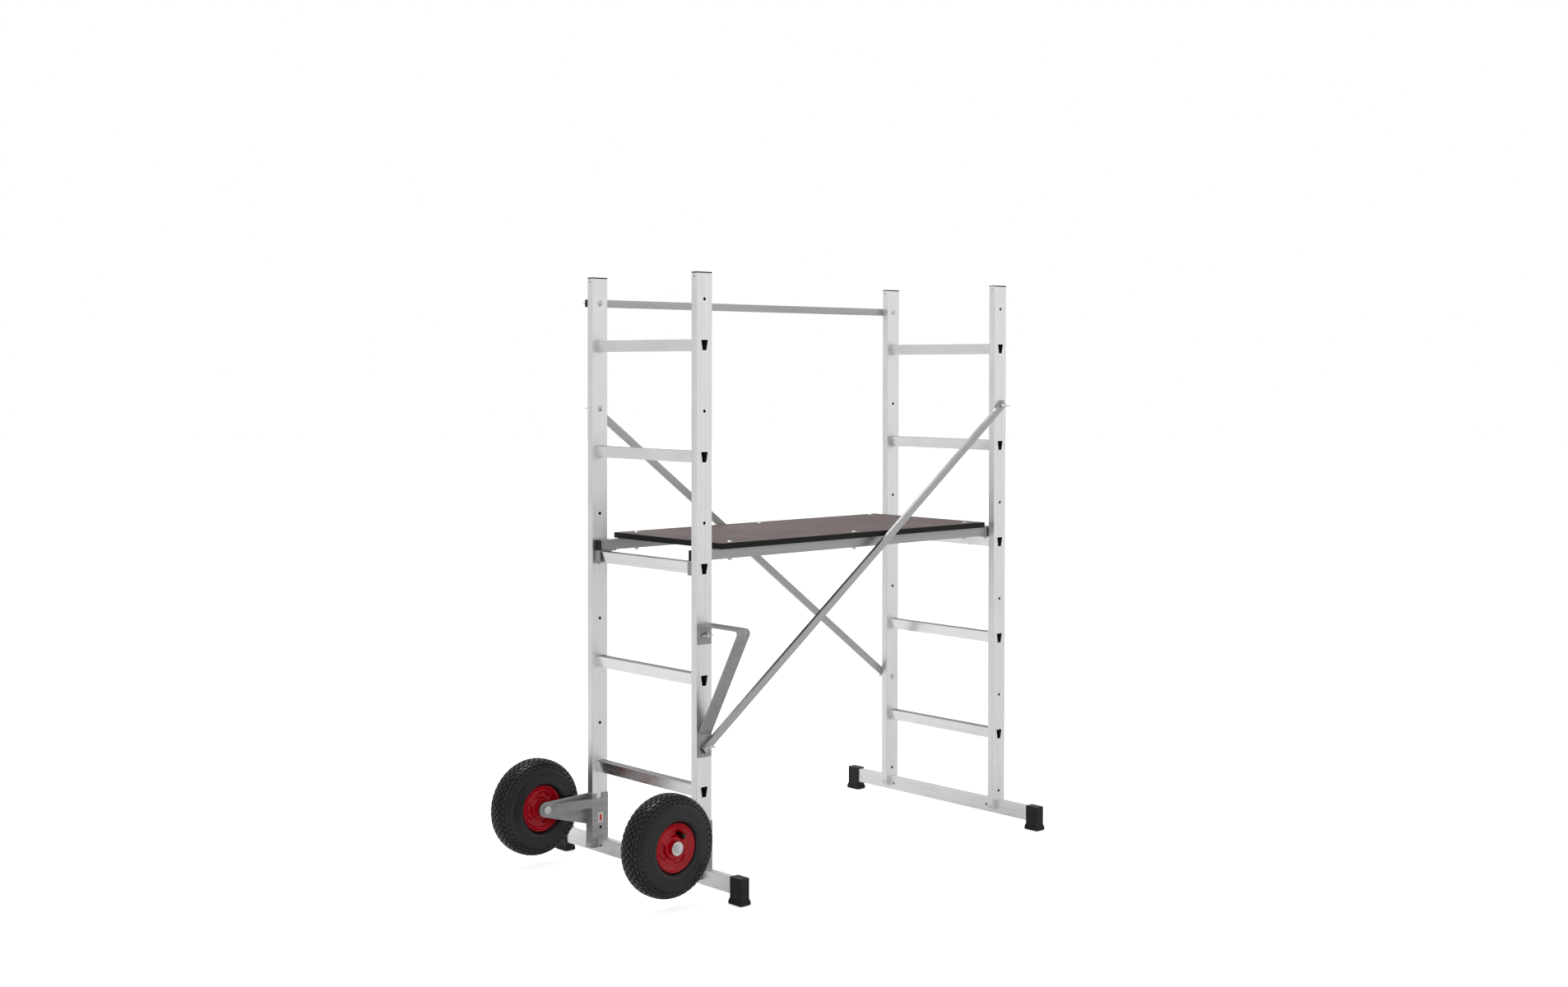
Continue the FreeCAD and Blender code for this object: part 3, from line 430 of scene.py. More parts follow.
FINISHES: dict[str, Finish] = {finish.name: finish for finish in (
    DrawnMetal("stile_aluminium"),
    DrawnMetal("rung_aluminium", light=linear(0.9, 0.9, 0.9), dark=linear(0.74, 0.74, 0.75), smooth=0.18, rough=0.3,
               relief=0.1, line_width=2.0 * MM),
    DrawnMetal("crossbar_aluminium", light=linear(0.9, 0.9, 0.91), dark=linear(0.7, 0.705, 0.715)),
    DrawnMetal("brace_aluminium", light=linear(0.5, 0.496, 0.494), dark=linear(0.36, 0.357, 0.355), smooth=0.32),
    DrawnMetal("rail_aluminium", light=linear(0.44, 0.438, 0.438), dark=linear(0.32, 0.318, 0.318), smooth=0.32),
    DrawnMetal("bracket_steel", metallic=0.75, light=linear(0.42, 0.42, 0.415), dark=linear(0.25, 0.252, 0.252),
               smooth=0.36, rough=0.55, relief=0.35, line_width=4.0 * MM, line_length=120.0 * MM),
    DrawnMetal("zinc_fasteners", light=linear(0.78, 0.78, 0.77), dark=linear(0.42, 0.43, 0.44), smooth=0.1,
               rough=0.26, relief=0.2, line_length=12.0 * MM),
    DrawnMetal("zinc_wing_nut", light=linear(0.86, 0.86, 0.85), dark=linear(0.56, 0.57, 0.58), smooth=0.16,
               rough=0.34, relief=0.4, line_width=2.0 * MM, line_length=4.0 * MM),
    MouldedSkin("black_plastic", base=linear(0.005, 0.005, 0.0055), dusty=linear(0.012, 0.012, 0.0125), smooth=0.45,
                rough=0.65, specular=0.25),
    MouldedSkin("foot_rubber", base=linear(0.006, 0.006, 0.0065), dusty=linear(0.013, 0.013, 0.0135), smooth=0.42,
                rough=0.62, specular=0.3),
    MouldedSkin("tyre_rubber", base=linear(0.002, 0.0025, 0.004), dusty=linear(0.005, 0.0055, 0.0075), smooth=0.24,
                rough=0.42, relief=0.3, specular=0.42),
    MouldedSkin("tube_rubber", smooth=0.3, rough=0.4),
    MouldedSkin("valve_rubber", base=linear(0.012, 0.012, 0.013), smooth=0.3, rough=0.45),
    MouldedSkin("red_enamel", base=linear(0.4, 0.0004, 0.008), dusty=linear(0.31, 0.0004, 0.006), smooth=0.16,
                rough=0.26, relief=0.03, coat=0.25, specular=0.2),
    DrawnMetal("bearing_steel", smooth=0.15, rough=0.25, line_length=5.0 * MM),
    FilmBoard("deck_film_board", specular=0.18),
)}
SEALED_EDGE = MouldedSkin("sealed_board_edge", base=linear(0.003, 0.0028, 0.0026), dusty=linear(0.007, 0.0065, 0.006),
                          smooth=0.5, rough=0.65, specular=0.22)
# Near-black metal painted inside tube bores and bolt holes as painted shade; the cap rivets also take it as their dark
# colour.
DARK_RIVETS_AND_PAINTED_BORE_SHADE = DrawnMetal("dark_rivets_and_painted_bore_shade", metallic=0.6, light=linear(0.06, 0.06, 0.062), dark=linear(0.03, 0.03, 0.031),
                       smooth=0.5, rough=0.8)
# Darker copy of the rung metal on the tread's top and groove walls: painted shade of the grooves.
PAINTED_SHADE_TREAD = DrawnMetal("grooved_tread_painted_shade", light=linear(0.5, 0.5, 0.505), dark=linear(0.3, 0.3, 0.305),
                           smooth=0.3, rough=0.5, line_width=2.0 * MM)
LABEL_RED = MouldedSkin("label_red", base=linear(0.55, 0.03, 0.03), dusty=linear(0.5, 0.035, 0.035), relief=0.02)
LABEL_WHITE = MouldedSkin("label_white", base=linear(0.8, 0.8, 0.79), dusty=linear(0.7, 0.7, 0.69), relief=0.02)
BRASS_CORE = DrawnMetal("valve_core_brass", light=linear(0.75, 0.55, 0.28), dark=linear(0.5, 0.35, 0.16),
                        smooth=0.25, rough=0.4, line_length=4.0 * MM)


class FinishBook:
    """Makes each material once and hands it out by slot and grain."""

    def __init__(self) -> None:
        """Build the shared effects."""
        self.effects = SharedEffects()
        self._made: dict[tuple[str, Grain, float], Material] = {}

    def of(self, finish: Finish, grain: Grain = Grain.ALONG_Z, slope: float = 0.0) -> Material:
        """Material of a finish.

        Args:
            finish: The finish wanted.
            grain: Direction of its lines.
            slope: Turn of the lines about Y.

        Returns:
            The material, made the first time it is asked for.
        """
        key = (finish.name, grain, round(slope, 4))
        if key not in self._made:
            self._made[key] = finish.material(self.effects, grain, slope)
        return self._made[key]


# ---- mesh tools ---------------------------------------------------------------------------------
def turned(profile: Profile, steps: int, closed: bool = False) -> Shape:
    """Shape turned about the local Z axis.

    Args:
        profile: Points of the outline as (radius, height).
        steps: Number of flats round the full turn.
        closed: Whether the outline's last point joins its first.

    Returns:
        The new mesh, with its poles closed and its faces pointing outwards.
    """
    bm = bmesh.new()
    points = [bm.verts.new((radius, 0.0, height)) for radius, height in profile]
    edges = [bm.edges.new(pair) for pair in zip(points, points[1:])]
    if closed:
        edges.append(bm.edges.new((points[-1], points[0])))
    bmesh.ops.spin(bm, geom=points + edges, cent=(0, 0, 0), axis=(0, 0, 1), dvec=(0, 0, 0), angle=FULL_TURN,
                   steps=steps, use_merge=True, use_duplicate=False)
    bmesh.ops.remove_doubles(bm, verts=bm.verts, dist=MERGE)
    bmesh.ops.recalc_face_normals(bm, faces=bm.faces)
    return bm


def arc(centre: Pair, radius: float, start: float, end: float, count: int) -> Profile:
    """Points of an arc.

    Args:
        centre: Its centre.
        radius: Its radius.
        start: Angle of its first point, in degrees.
        end: Angle of its last point, in degrees.
        count: Number of spans.

    Returns:
        count + 1 points from start to end.
    """
    angles = [math.radians(start + (end - start) * step / count) for step in range(count + 1)]
    return [(centre[0] + radius * math.cos(a), centre[1] + radius * math.sin(a)) for a in angles]


def in_metres(points: Outline) -> Profile:
    """Points given in millimetres, in metres."""
    return [(first * MM, second * MM) for first, second in points]


def polar(place: Vector) -> Pair:
    """Distance from the local Z axis, and angle round it in degrees."""
    return math.hypot(place.x, place.y), math.degrees(math.atan2(place.y, place.x))


def eased(share: float) -> float:
    """Share held between 0 and 1, with a gentle start and end."""
    held = min(max(share, 0.0), 1.0)
    return held * held * (3 - 2 * held)


def as_mesh(bm: Shape, name: str) -> Mesh:
    """Mesh made from a bmesh, which is freed.

    Args:
        bm: The shape.
        name: Name of the mesh.

    Returns:
        The mesh.
    """
    mesh = bpy.data.meshes.new(name)
    bm.to_mesh(mesh)
    bm.free()
    return mesh


def raised_verts(grown: dict) -> list[bmesh.types.BMVert]:
    """Vertices that an extrusion made."""
    return [item for item in grown["geom"] if isinstance(item, bmesh.types.BMVert)]


def standing(place: Vector, axis: Vector) -> Matrix:
    """Matrix that stands a shape's local Z along an axis at a place."""
    return Matrix.Translation(place) @ Vector((0, 0, 1)).rotation_difference(axis).to_matrix().to_4x4()


def stamp(target: Shape, source: Mesh, matrix: Matrix) -> None:
    """Add a copy of a small mesh to a larger one.

    Args:
        target: The mesh that grows.
        source: The mesh to copy.
        matrix: Where the copy goes.
    """
    placed = source.copy()
    placed.transform(matrix)
    target.from_mesh(placed)
    bpy.data.meshes.remove(placed)


def merged(shapes: Sequence[tuple[Shape, Matrix]]) -> Shape:
    """One mesh from several, each put in its place and then freed.

    Args:
        shapes: Each shape and its place.

    Returns:
        The whole.
    """
    whole = bmesh.new()
    for shape, matrix in shapes:
        mesh = as_mesh(shape, "part")
        stamp(whole, mesh, matrix)
        bpy.data.meshes.remove(mesh)
    return whole


def soften(bm: Shape, width: float, segments: int, longer_than: float = 0.0) -> None:
    """Bevel the sharp edges of a closed mesh.

    Args:
        bm: The mesh.
        width: Width of the bevel.
        segments: Number of strips across it.
        longer_than: Only edges at least this long.
    """
    edges = [edge for edge in bm.edges
             if edge.is_manifold and edge.calc_length() >= longer_than and edge.calc_face_angle() > SHARP_EDGE]
    bmesh.ops.bevel(bm, geom=edges, offset=width, offset_type="OFFSET", segments=segments, profile=0.5,
                    affect="EDGES", clamp_overlap=True, material=-1)
    bmesh.ops.dissolve_degenerate(bm, dist=MERGE / 10, edges=bm.edges)


def block(length: float, width: float, height: float, sides: int, taper: float, edge: float) -> Mesh:
    """Low block with a tapered top and softened upper edges, standing on the local XY plane.

    Args:
        length: Its size along X.
        width: Its size along Y.
        height: Its size along Z.
        sides: Number of its sides.
        taper: Size of the top as a share of the foot.
        edge: Width of the bevel.

    Returns:
        A mesh to stamp.
    """
    bm = bmesh.new()
    bmesh.ops.create_circle(bm, segments=sides, radius=0.5, cap_ends=True)
    if sides == 4:
        bmesh.ops.rotate(bm, verts=bm.verts, cent=(0, 0, 0), matrix=Matrix.Rotation(math.radians(45), 3, "Z"))
        bmesh.ops.scale(bm, verts=bm.verts, vec=(math.sqrt(2), math.sqrt(2), 1))
    bmesh.ops.scale(bm, verts=bm.verts, vec=(length, width, 1))
    raised = raised_verts(bmesh.ops.extrude_face_region(bm, geom=bm.faces[:]))
    bmesh.ops.translate(bm, verts=raised, vec=(0, 0, height))
    bmesh.ops.scale(bm, verts=raised, vec=(taper, taper, 1))
    bmesh.ops.recalc_face_normals(bm, faces=bm.faces)
    upper = [e for e in bm.edges if all(v.co.z > height / 2 for v in e.verts)]
    bmesh.ops.bevel(bm, geom=upper, offset=edge, offset_type="OFFSET", segments=1, profile=0.5, affect="EDGES",
                    material=-1)
    return as_mesh(bm, "block")


# ---- pieces on the frame ------------------------------------------------------------------------
class Bench:
    """Turns meshes into pieces that ride on the frame."""

    SHARP = math.radians(38)
    FLAT = math.radians(0.5)
    OUTER_SKIN = 1.2 * MM
    OUTWARD = 0.3

    def __init__(self, frame: dict) -> None:
        """Keep the frame and the record's lists.
        """
        self.nodes = frame["nodes"]
        record = frame["record"]
        self.slots = {row["node"]: row["material_slot"] for row in record["subparts"]}
        self.bodies = {node: body for body, nodes in record["behaviour"]["bodies"].items() for node in nodes}
        self.book = FinishBook()

    def copy_of(self, node: str) -> Shape:
        """Copy of a node's mesh with its triangles joined into whole faces.

        Args:
            node: The node.

        Returns:
            The copy.
        """
        bm = bmesh.new()
        bm.from_mesh(self.nodes[node].data)
        bmesh.ops.remove_doubles(bm, verts=bm.verts, dist=MERGE)
        bmesh.ops.dissolve_limit(bm, angle_limit=self.FLAT, use_dissolve_boundaries=False,
                                 verts=bm.verts, edges=bm.edges)
        return bm

    def piece(self, name: str, bm: Shape, like: str, stands_for: Sequence[str] = (),
              materials: Sequence[Material] = ()) -> bpy.types.Object:
        """Make a mesh a piece of the scaffold.

        Args:
            name: The piece's name.
            bm: Its mesh, in place, which is freed.
            like: A node whose body it rides on and whose slot it takes.
            stands_for: Nodes that it replaces.
            materials: Its materials, or none for the slot's own.

        Returns:
            The new object.
        """
        mesh = as_mesh(bm, name)
        mesh.shade_smooth()
        mesh.set_sharp_from_angle(angle=self.SHARP)
        for material in materials or (self.book.of(FINISHES[self.slots[like]]),):
            mesh.materials.append(material)
        obj = bpy.data.objects.new(name, mesh)
        bpy.context.scene.collection.objects.link(obj)
        normals = obj.modifiers.new("flat_faces_stay_flat", "WEIGHTED_NORMAL")
        normals.keep_sharp = True
        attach(obj, self.bodies[like])
        if stands_for:
            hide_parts(*stands_for)
        LOG.info("%s: %d faces on %s", name, len(mesh.polygons), self.bodies[like])
        return obj

    def softened(self, node: str, width: float, segments: int = 2, grain: Grain = Grain.ALONG_Z,
                 slope: float = 0.0, longer_than: float = 0.0, tube: bool = False) -> bpy.types.Object:
        """Piece with the shape of a node and softened edges.

        Args:
            node: The node, which the piece replaces.
            width: Width of the bevel.
            segments: Number of strips across it.
            grain: Direction of the finish.
            slope: Turn of the finish about Y.
            longer_than: Only edges at least this long are softened.
            tube: Whether its inner walls and its bolt holes get a dark painted shade.

        Returns:
            The new object.
        """
        bm = self.copy_of(node)
        soften(bm, width, segments, longer_than)
        materials = [self.book.of(FINISHES[self.slots[node]], grain, slope)]
        if tube:
            materials.append(self.book.of(DARK_RIVETS_AND_PAINTED_BORE_SHADE, grain))
            self.paint_bore_shade(bm, node, grain)
        return self.piece(node + "_finished", bm, node, (node,), materials)

    def paint_bore_shade(self, bm: Shape, node: str, grain: Grain) -> None:
        """Give a tube's inner walls and the walls of its holes its second material, a dark painted shade.

        Args:
            bm: The tube's mesh.
            node: The node that it copies.
            grain: Direction of the tube.
        """
        low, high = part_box(node)
        middle = (low + high) / 2
        half = (high - low) / 2
        along = grain.value.index(1)
        for face in bm.faces:
            out = face.calc_center_median() - middle
            on_skin = any(half[axis] - abs(out[axis]) < self.OUTER_SKIN
                          and face.normal[axis] * out[axis] > self.OUTWARD * abs(out[axis])
                          for axis in range(3) if axis != along)
            face.material_index = 0 if on_skin or abs(face.normal[along]) >= FACING else 1

    def dress(self, node: str, grain: Grain = Grain.ALONG_Z) -> None:
        """Give a node that keeps its own shape the finish of its slot.

        Args:
            node: The node.
            grain: Direction of the finish.
        """
        mesh = self.nodes[node].data
        mesh.materials.clear()
        mesh.materials.append(self.book.of(FINISHES[self.slots[node]], grain))
        LOG.info("%s: keeps its shape", node)


@dataclass
class Assembly:
    """A part of the scaffold that makes its pieces on a bench."""

    bench: Bench


@dataclass
class Ladder(Assembly):
    """One ladder: two stiles, five rungs, a crossbar and two feet."""

    name: str
    rung_count: int = 5
    edge_radius: float = 1.1 * MM
    rung_bottom_share: float = 16.0 / 27.0
    rung_wall: float = 1.8 * MM
    collar_lap: float = 1.3 * MM
    collar_height: float = 0.6 * MM
    rung_edge: float = 0.25 * MM
    tread_depth: float = 1.2 * MM
    bead_lap: float = 1.5 * MM
    bead_height: float = 2.6 * MM
    bead_play: float = 0.05 * MM
    ring_softness: float = 0.4
    rivet_radius: float = 2.0 * MM
    rivet_height: float = 0.7 * MM
    rivet_below_top: float = 9.0 * MM
    rivet_sink: float = 0.2 * MM
    rivet_flats: int = 20

    def build(self) -> None:
        """Make every piece of the ladder."""
        for side in ("near", "far"):
            self.bench.softened(f"stile_{self.name}_{side}", self.edge_radius, 3, longer_than=LONG, tube=True)
        for index in range(1, self.rung_count + 1):
            self.build_rung(f"rung_{self.name}_{index}")
        self.bench.softened(f"crossbar_{self.name}", self.edge_radius, 3, Grain.ALONG_Y, longer_than=LONG, tube=True)
        self.build_collars()
        self.build_rivets()

    def build_rung(self, node: str) -> None:
        """Rung with plain sides, a grooved tread on top darkened as painted shade, and a bore in dark painted shade.

        Args:
            node: The rung's node.
        """
        low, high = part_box(node)
        middle = (low + high) / 2
        bm = self.bench.copy_of(node)
        soften(bm, self.rung_edge, 1)
        for face in bm.faces:
            centre = face.calc_center_median()
            outward = Vector((centre.x - middle.x, 0, centre.z - middle.z))
            if abs(face.normal.y) > FACING:
                face.material_index = 0
            elif face.normal.dot(outward) < 0:
                # Faces that look into the bore get dark painted shade.
                face.material_index = 1
            else:
                # Top faces and groove walls take the tread's painted shade.
                face.material_index = 2 if centre.z > high.z - self.tread_depth else 0
        finishes = (FINISHES["rung_aluminium"], DARK_RIVETS_AND_PAINTED_BORE_SHADE, PAINTED_SHADE_TREAD)
        materials = [self.bench.book.of(finish, Grain.ALONG_Y) for finish in finishes]
        self.bench.piece(node + "_finished", bm, node, (node,), materials)

    def collar(self, rung: str, face_y: float, push: float, lap: float, bite: float) -> Shape:
        """Ring of metal pressed round a rung where it meets a stile.

        Args:
            rung: The rung's node.
            face_y: The stile's face that the ring lies on.
            push: How far the ring stands off that face, along Y.
            lap: How far it reaches beyond the rung's outside.
            bite: How far it reaches inside it.

        Returns:
            A closed ring.
        """
        low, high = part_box(rung)
        middle_x = (low.x + high.x) / 2
        top = (high.x - low.x) / 2
        foot = top * self.rung_bottom_share
        outline = [(-foot - lap, low.z - lap), (foot + lap, low.z - lap), (top + lap, high.z + lap),
                   (-top - lap, high.z + lap)]
        bm = bmesh.new()
        face = bm.faces.new([bm.verts.new((middle_x + x, face_y, z)) for x, z in outline])
        face.normal_update()
        bmesh.ops.inset_region(bm, faces=[face], thickness=lap + bite, use_even_offset=True, use_boundary=True)
        bmesh.ops.delete(bm, geom=[face], context="FACES")
        verts = raised_verts(bmesh.ops.extrude_face_region(bm, geom=bm.faces[:], use_keep_orig=True))
        bmesh.ops.translate(bm, verts=verts, vec=(0, push, 0))
        bmesh.ops.recalc_face_normals(bm, faces=bm.faces)
        soften(bm, abs(push) * self.ring_softness, 2)
        return bm

    def build_collars(self) -> None:
        """Flared ends outside the stiles and swaged beads inside them, for all rungs of the ladder."""
        low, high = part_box(f"stile_{self.name}_far")
        rings = []
        rungs = [f"rung_{self.name}_{index}" for index in range(1, self.rung_count + 1)]
        for rung in rungs:
            for side in (-1, 1):
                flare = self.collar(rung, side * high.y, side * self.collar_height, self.collar_lap, self.rung_wall)
                bead = self.collar(rung, side * low.y, -side * self.bead_height, self.bead_lap, -self.bead_play)
                rings += [flare, bead]
        material = self.bench.book.of(FINISHES["rung_aluminium"], Grain.ALONG_Y)
        whole = merged([(ring, Matrix()) for ring in rings])
        self.bench.piece(f"rung_collars_{self.name}", whole, rungs[0], (), (material,))

    def build_rivets(self) -> None:
        """Small rivets that hold the end caps, on the stiles' narrow faces."""
        heads = []
        for side in ("near", "far"):
            low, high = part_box(f"stile_{self.name}_{side}")
            place = Vector((low.x, (low.y + high.y) / 2, high.z - self.rivet_below_top))
            profile = [(0.0, -self.rivet_sink), (self.rivet_radius, -self.rivet_sink)]
            profile += [(self.rivet_radius * x, self.rivet_height * y) for x, y in arc((0, 0), 1, 0, 90, 6)]
            heads.append((turned(profile, self.rivet_flats), standing(place, Vector((-1, 0, 0)))))
        # The rivet heads take the dark metal of the painted bore shade.
        material = self.bench.book.of(DARK_RIVETS_AND_PAINTED_BORE_SHADE)
        self.bench.piece(f"cap_rivets_{self.name}", merged(heads), "crossbar_rivets", (), (material,))


@dataclass
class Foot(Assembly):
    """Rubber foot: a sleeve on the crossbar's end with a ribbed, flared sole."""

    node: str
    side: int
    flare: float = 3.0 * MM
    rib_size: Triple = (14.0 * MM, 2.6 * MM, 1.6 * MM)
    rib_pitch: float = 6.5 * MM
    rib_margin: float = 4.0 * MM
    rib_lift: float = 2.0 * MM
    rib_sink: float = 1.2 * MM
    rib_lean: float = -10.0
    ridge_section: Pair = (1.8 * MM, 0.9 * MM)
    ridge_ends: Pair = (8.0 * MM, 4.0 * MM)
    ridge_inset: float = 5.0 * MM
    ridge_sink: float = 0.1 * MM
    taper: float = 0.6

    def build(self) -> None:
        """Make the foot with ribs round its sole and ridges down its sleeve."""
        low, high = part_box(self.node)
        centre = (low + high) / 2
        half = (high - low) / 2
        rib_height = self.rib_size[0]
        lower, upper = self.ridge_ends
        rib = block(*self.rib_size, 4, self.taper, 0.3 * MM)
        ridge = block(high.z - rib_height - lower - upper, *self.ridge_section, 4, self.taper, 0.25 * MM)
        bm = self.bench.copy_of(self.node)
        up = Vector((0, 0, 1))
        for axis, sign in ((0, 1), (0, -1), (1, 1), (1, -1)):
            normal = Vector((0, 0, 0))
            normal[axis] = sign
            reach, width = half[axis], half[1 - axis]
            along = up.cross(normal)
            turn = Matrix((up, -along, normal)).transposed().to_4x4()
            lean = Matrix.Rotation(math.radians(self.rib_lean), 4, along)
            count = int((width - self.rib_margin) * 2 / self.rib_pitch)
            for step in range(count + 1):
                place = Vector((centre.x, centre.y, rib_height / 2 + self.rib_lift))
                place += along * (step - count / 2) * self.rib_pitch + normal * (reach - self.rib_sink)
                stamp(bm, rib, Matrix.Translation(place) @ lean @ turn)
            for edge in (-1, 1):
                place = Vector((centre.x, centre.y, (high.z + rib_height + lower) / 2))
                place += along * (edge * (width - self.flare - self.ridge_inset))
                place += normal * (reach - self.flare - self.ridge_sink)
                if normal.y * self.side >= 0:
                    stamp(bm, ridge, Matrix.Translation(place) @ turn)
        for mesh in (rib, ridge):
            bpy.data.meshes.remove(mesh)
        self.bench.piece(self.node + "_finished", bm, self.node, (self.node,))


@dataclass
class Wheel(Assembly):
    """Air wheel: tyre with a block tread, pressed red rim, hub, valve and bearings.

    Fields that end in _mm are points in millimetres, as (radius, offset from the middle plane).
    """

    name: str
    side: int
    steps: int = 180
    blocks_round: int = 46
    block_height: float = 3.2 * MM
    block_edge: float = 0.7 * MM
    block_sides: int = 6
    row_pitch: float = 8.8 * MM
    crown_rows: int = 3
    shoulder_row: float = 34.2 * MM
    diamond: Triple = (18.0 * MM, 10.2 * MM, 0.78)
    lug: Triple = (13.6 * MM, 8.6 * MM, 0.74)
    sink: float = 1.0 * MM
    tyre_wall: float = 6.0 * MM
    bead_radius: float = 51.0 * MM
    bead_sides: Pair = (23.0 * MM, 18.6 * MM)
    bulge_radius: float = 73.0 * MM
    roundness: float = 0.72
    crown_spans: int = 160
    inner_stride: int = 8
    side_wall_mm: Outline = ((53.4, 23.6), (56.4, 24.8), (58.8, 26.6), (60.6, 28.8), (61.1, 30.6), (61.6, 33.0),
                             (63.6, 36.4), (65.6, 38.4), (66.8, 39.2), (68.0, 39.8), (69.2, 40.3), (70.6, 40.7))
    ring_floor: float = 33.5 * MM
    rings_mm: tuple[tuple[float, float, float], ...] = ((66.5, 1.2, 1.0), (72.5, 1.3, 1.1), (96.5, 0.8, 0.8),
                                                        (100.5, 0.8, 0.8))
    hub_radius: float = 18.0 * MM
    hub_edge: float = 0.6 * MM
    rim_wall: float = 2.0 * MM
    disc_flat: float = 24.0 * MM
    disc_crown: float = 29.0 * MM
    crown_foot: float = 31.0 * MM
    crown_slope: float = 6.5 * MM
    disc_radii: Pair = (46.0 * MM, 20.0 * MM)
    disc_rings: int = 24
    pressed_within: float = 48.0 * MM
    pressed_above: float = 21.0 * MM
    lip_centre: Pair = (58.5 * MM, 31.5 * MM)
    lip_radius: float = 1.5 * MM
    flange_mm: Outline = ((56.2, 31.2), (55.2, 29.6), (54.2, 28.6), (52.6, 27.6), (50.8, 26.8), (49.4, 25.8),
                          (48.4, 24.7), (47.2, 24.1))
    barrel_mm: Outline = ((49.0, 22.4), (49.0, 19.0), (42.0, 11.0), (42.0, 0.0))
    outside_mm: Outline = ((44.0, 0.0), (44.0, 10.0), (51.0, 18.0), (51.6, 24.6), (53.6, 26.2), (56.0, 27.2),
                           (57.2, 28.6))
    lobe_angles: tuple[float, ...] = (70.0, 190.0, 310.0)
    lobe_radius: float = 35.5 * MM
    lobe_reach: float = 9.5 * MM
    lobe_spread: float = 21.0 * MM
    lobe_lean: float = 0.35
    lobe_depth: float = 4.5 * MM
    floor_depth: float = 1.6 * MM
    ridge_height: float = 0.8 * MM
    slot_angles: Pair = (25.0, 70.0)
    slot_radii: Pair = (31.5 * MM, 42.0 * MM)
    slot_above: float = 12.0 * MM
    valve_circle: float = 37.0 * MM
    valve_angle: float = 45.0
    valve_flats: int = 28
    valve_mm: Outline = ((0.0, 6.0), (4.4, 6.0), (4.0, 12.0), (4.0, 26.0), (3.4, 27.0), (3.0, 30.0), (4.8, 30.0),
                         (4.8, 35.0), (4.2, 36.0), (0.0, 36.0))
    core_mm: Outline = ((3.15, 27.6), (3.55, 27.8), (3.55, 29.8), (3.15, 29.95))
    core_flats: int = 24
    bend_top: float = 17.0 * MM
    bend_height: float = 11.0 * MM
    bend_reach: float = 5.0 * MM
    cap_ridges: int = 14
    cap_ridge_size: Triple = (4.6 * MM, 1.0 * MM, 0.5 * MM)
    cap_ridge_seat: Triple = (4.75 * MM, 0.0, 32.6 * MM)
    place: Matrix = field(default_factory=Matrix)
    radius: float = 0.0
    half_width: float = 0.0

    def build(self) -> None:
        """Make every piece of the wheel."""
        low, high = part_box("tyre_" + self.name)
        self.radius = (high.z - low.z) / 2
        self.half_width = (high.y - low.y) / 2
        columns = (Vector((1, 0, 0)), Vector((0, 0, 1)), Vector((0, self.side, 0)))
        self.place = Matrix.Translation((low + high) / 2) @ Matrix(columns).transposed().to_4x4()
        self.build_tyre()
        self.build_rim()
        self.build_valve()
        self.bench.softened("hub_" + self.name, self.hub_edge)
        for node in ("inner_tube_", "bearings_"):
            self.bench.dress(node + self.name)

    def in_place(self, bm: Shape) -> Shape:
        """Move a shape from the wheel's own axes to the frame, facing outwards.

        Args:
            bm: The shape.

        Returns:
            The same shape.
        """
        bmesh.ops.transform(bm, matrix=self.place, verts=bm.verts)
        bmesh.ops.recalc_face_normals(bm, faces=bm.faces)
        return bm

    def carcass_point(self, angle: float) -> Pair:
        """Point of the tyre's outer surface without its blocks.

        Args:
            angle: 0 at the outer side's widest point, 90 degrees on the crown, in radians.

        Returns:
            Its radius and its offset from the middle plane.
        """
        reach = self.radius - self.block_height - self.bulge_radius
        cosine = math.cos(angle)
        offset = self.half_width * math.copysign(abs(cosine) ** self.roundness, cosine)
        return self.bulge_radius + reach * abs(math.sin(angle)) ** self.roundness, offset

    def relief(self, radius: float, offset: float) -> float:
        """Height of the sidewall's rings at a point of the carcass.

        Args:
            radius: Distance from the axle.
            offset: Distance from the middle plane.

        Returns:
            The height, in metres.
        """
        if abs(offset) <= self.ring_floor:
            return 0.0
        return sum(tall * MM * math.exp(-((radius - middle * MM) / (wide * MM)) ** 2)
                   for middle, wide, tall in self.rings_mm)

    def build_tyre(self) -> None:
        """Turn the carcass and set the tread's blocks on it."""
        crown = [self.carcass_point(math.pi * step / self.crown_spans) for step in range(self.crown_spans + 1)]
        side_wall = in_metres(self.side_wall_mm)
        outer = side_wall + crown + [(radius, -offset) for radius, offset in reversed(side_wall)]
        shrink = 1 - self.tyre_wall / self.half_width
        inner = [(radius - self.tyre_wall, offset * shrink) for radius, offset in crown[::self.inner_stride]]
        wide, narrow = self.bead_sides
        toe = [(self.bead_radius, wide), (self.bead_radius, narrow)]
        outline = [(self.bead_radius, -wide)] + outer[::-1] + toe + inner + [(self.bead_radius, -narrow)]
        raised = [(radius, offset + math.copysign(self.relief(radius, offset), offset)) for radius, offset in outline]
        bm = turned(raised, self.steps, True)
        height = self.block_height + self.sink
        diamond, lug = (block(length, width, height, self.block_sides, taper, self.block_edge)
                        for length, width, taper in (self.diamond, self.lug))
        rows = [(index, index * self.row_pitch, diamond) for index in range(-self.crown_rows, self.crown_rows + 1)]
        rows += [(sign * (self.crown_rows + 1), self.shoulder_row * sign, lug) for sign in (1, -1)]
        pitch = FULL_TURN / self.blocks_round
        for index, offset, shape in rows:
            stagger = 0.5 if index % 2 else 0.0
            seat = self.seat(offset)
            for step in range(self.blocks_round):
                stamp(bm, shape, Matrix.Rotation((step + stagger) * pitch, 4, "Z") @ seat)
        for mesh in (diamond, lug):
            bpy.data.meshes.remove(mesh)
        node = "tyre_" + self.name
        self.bench.piece(node + "_treaded", self.in_place(bm), node, (node,))

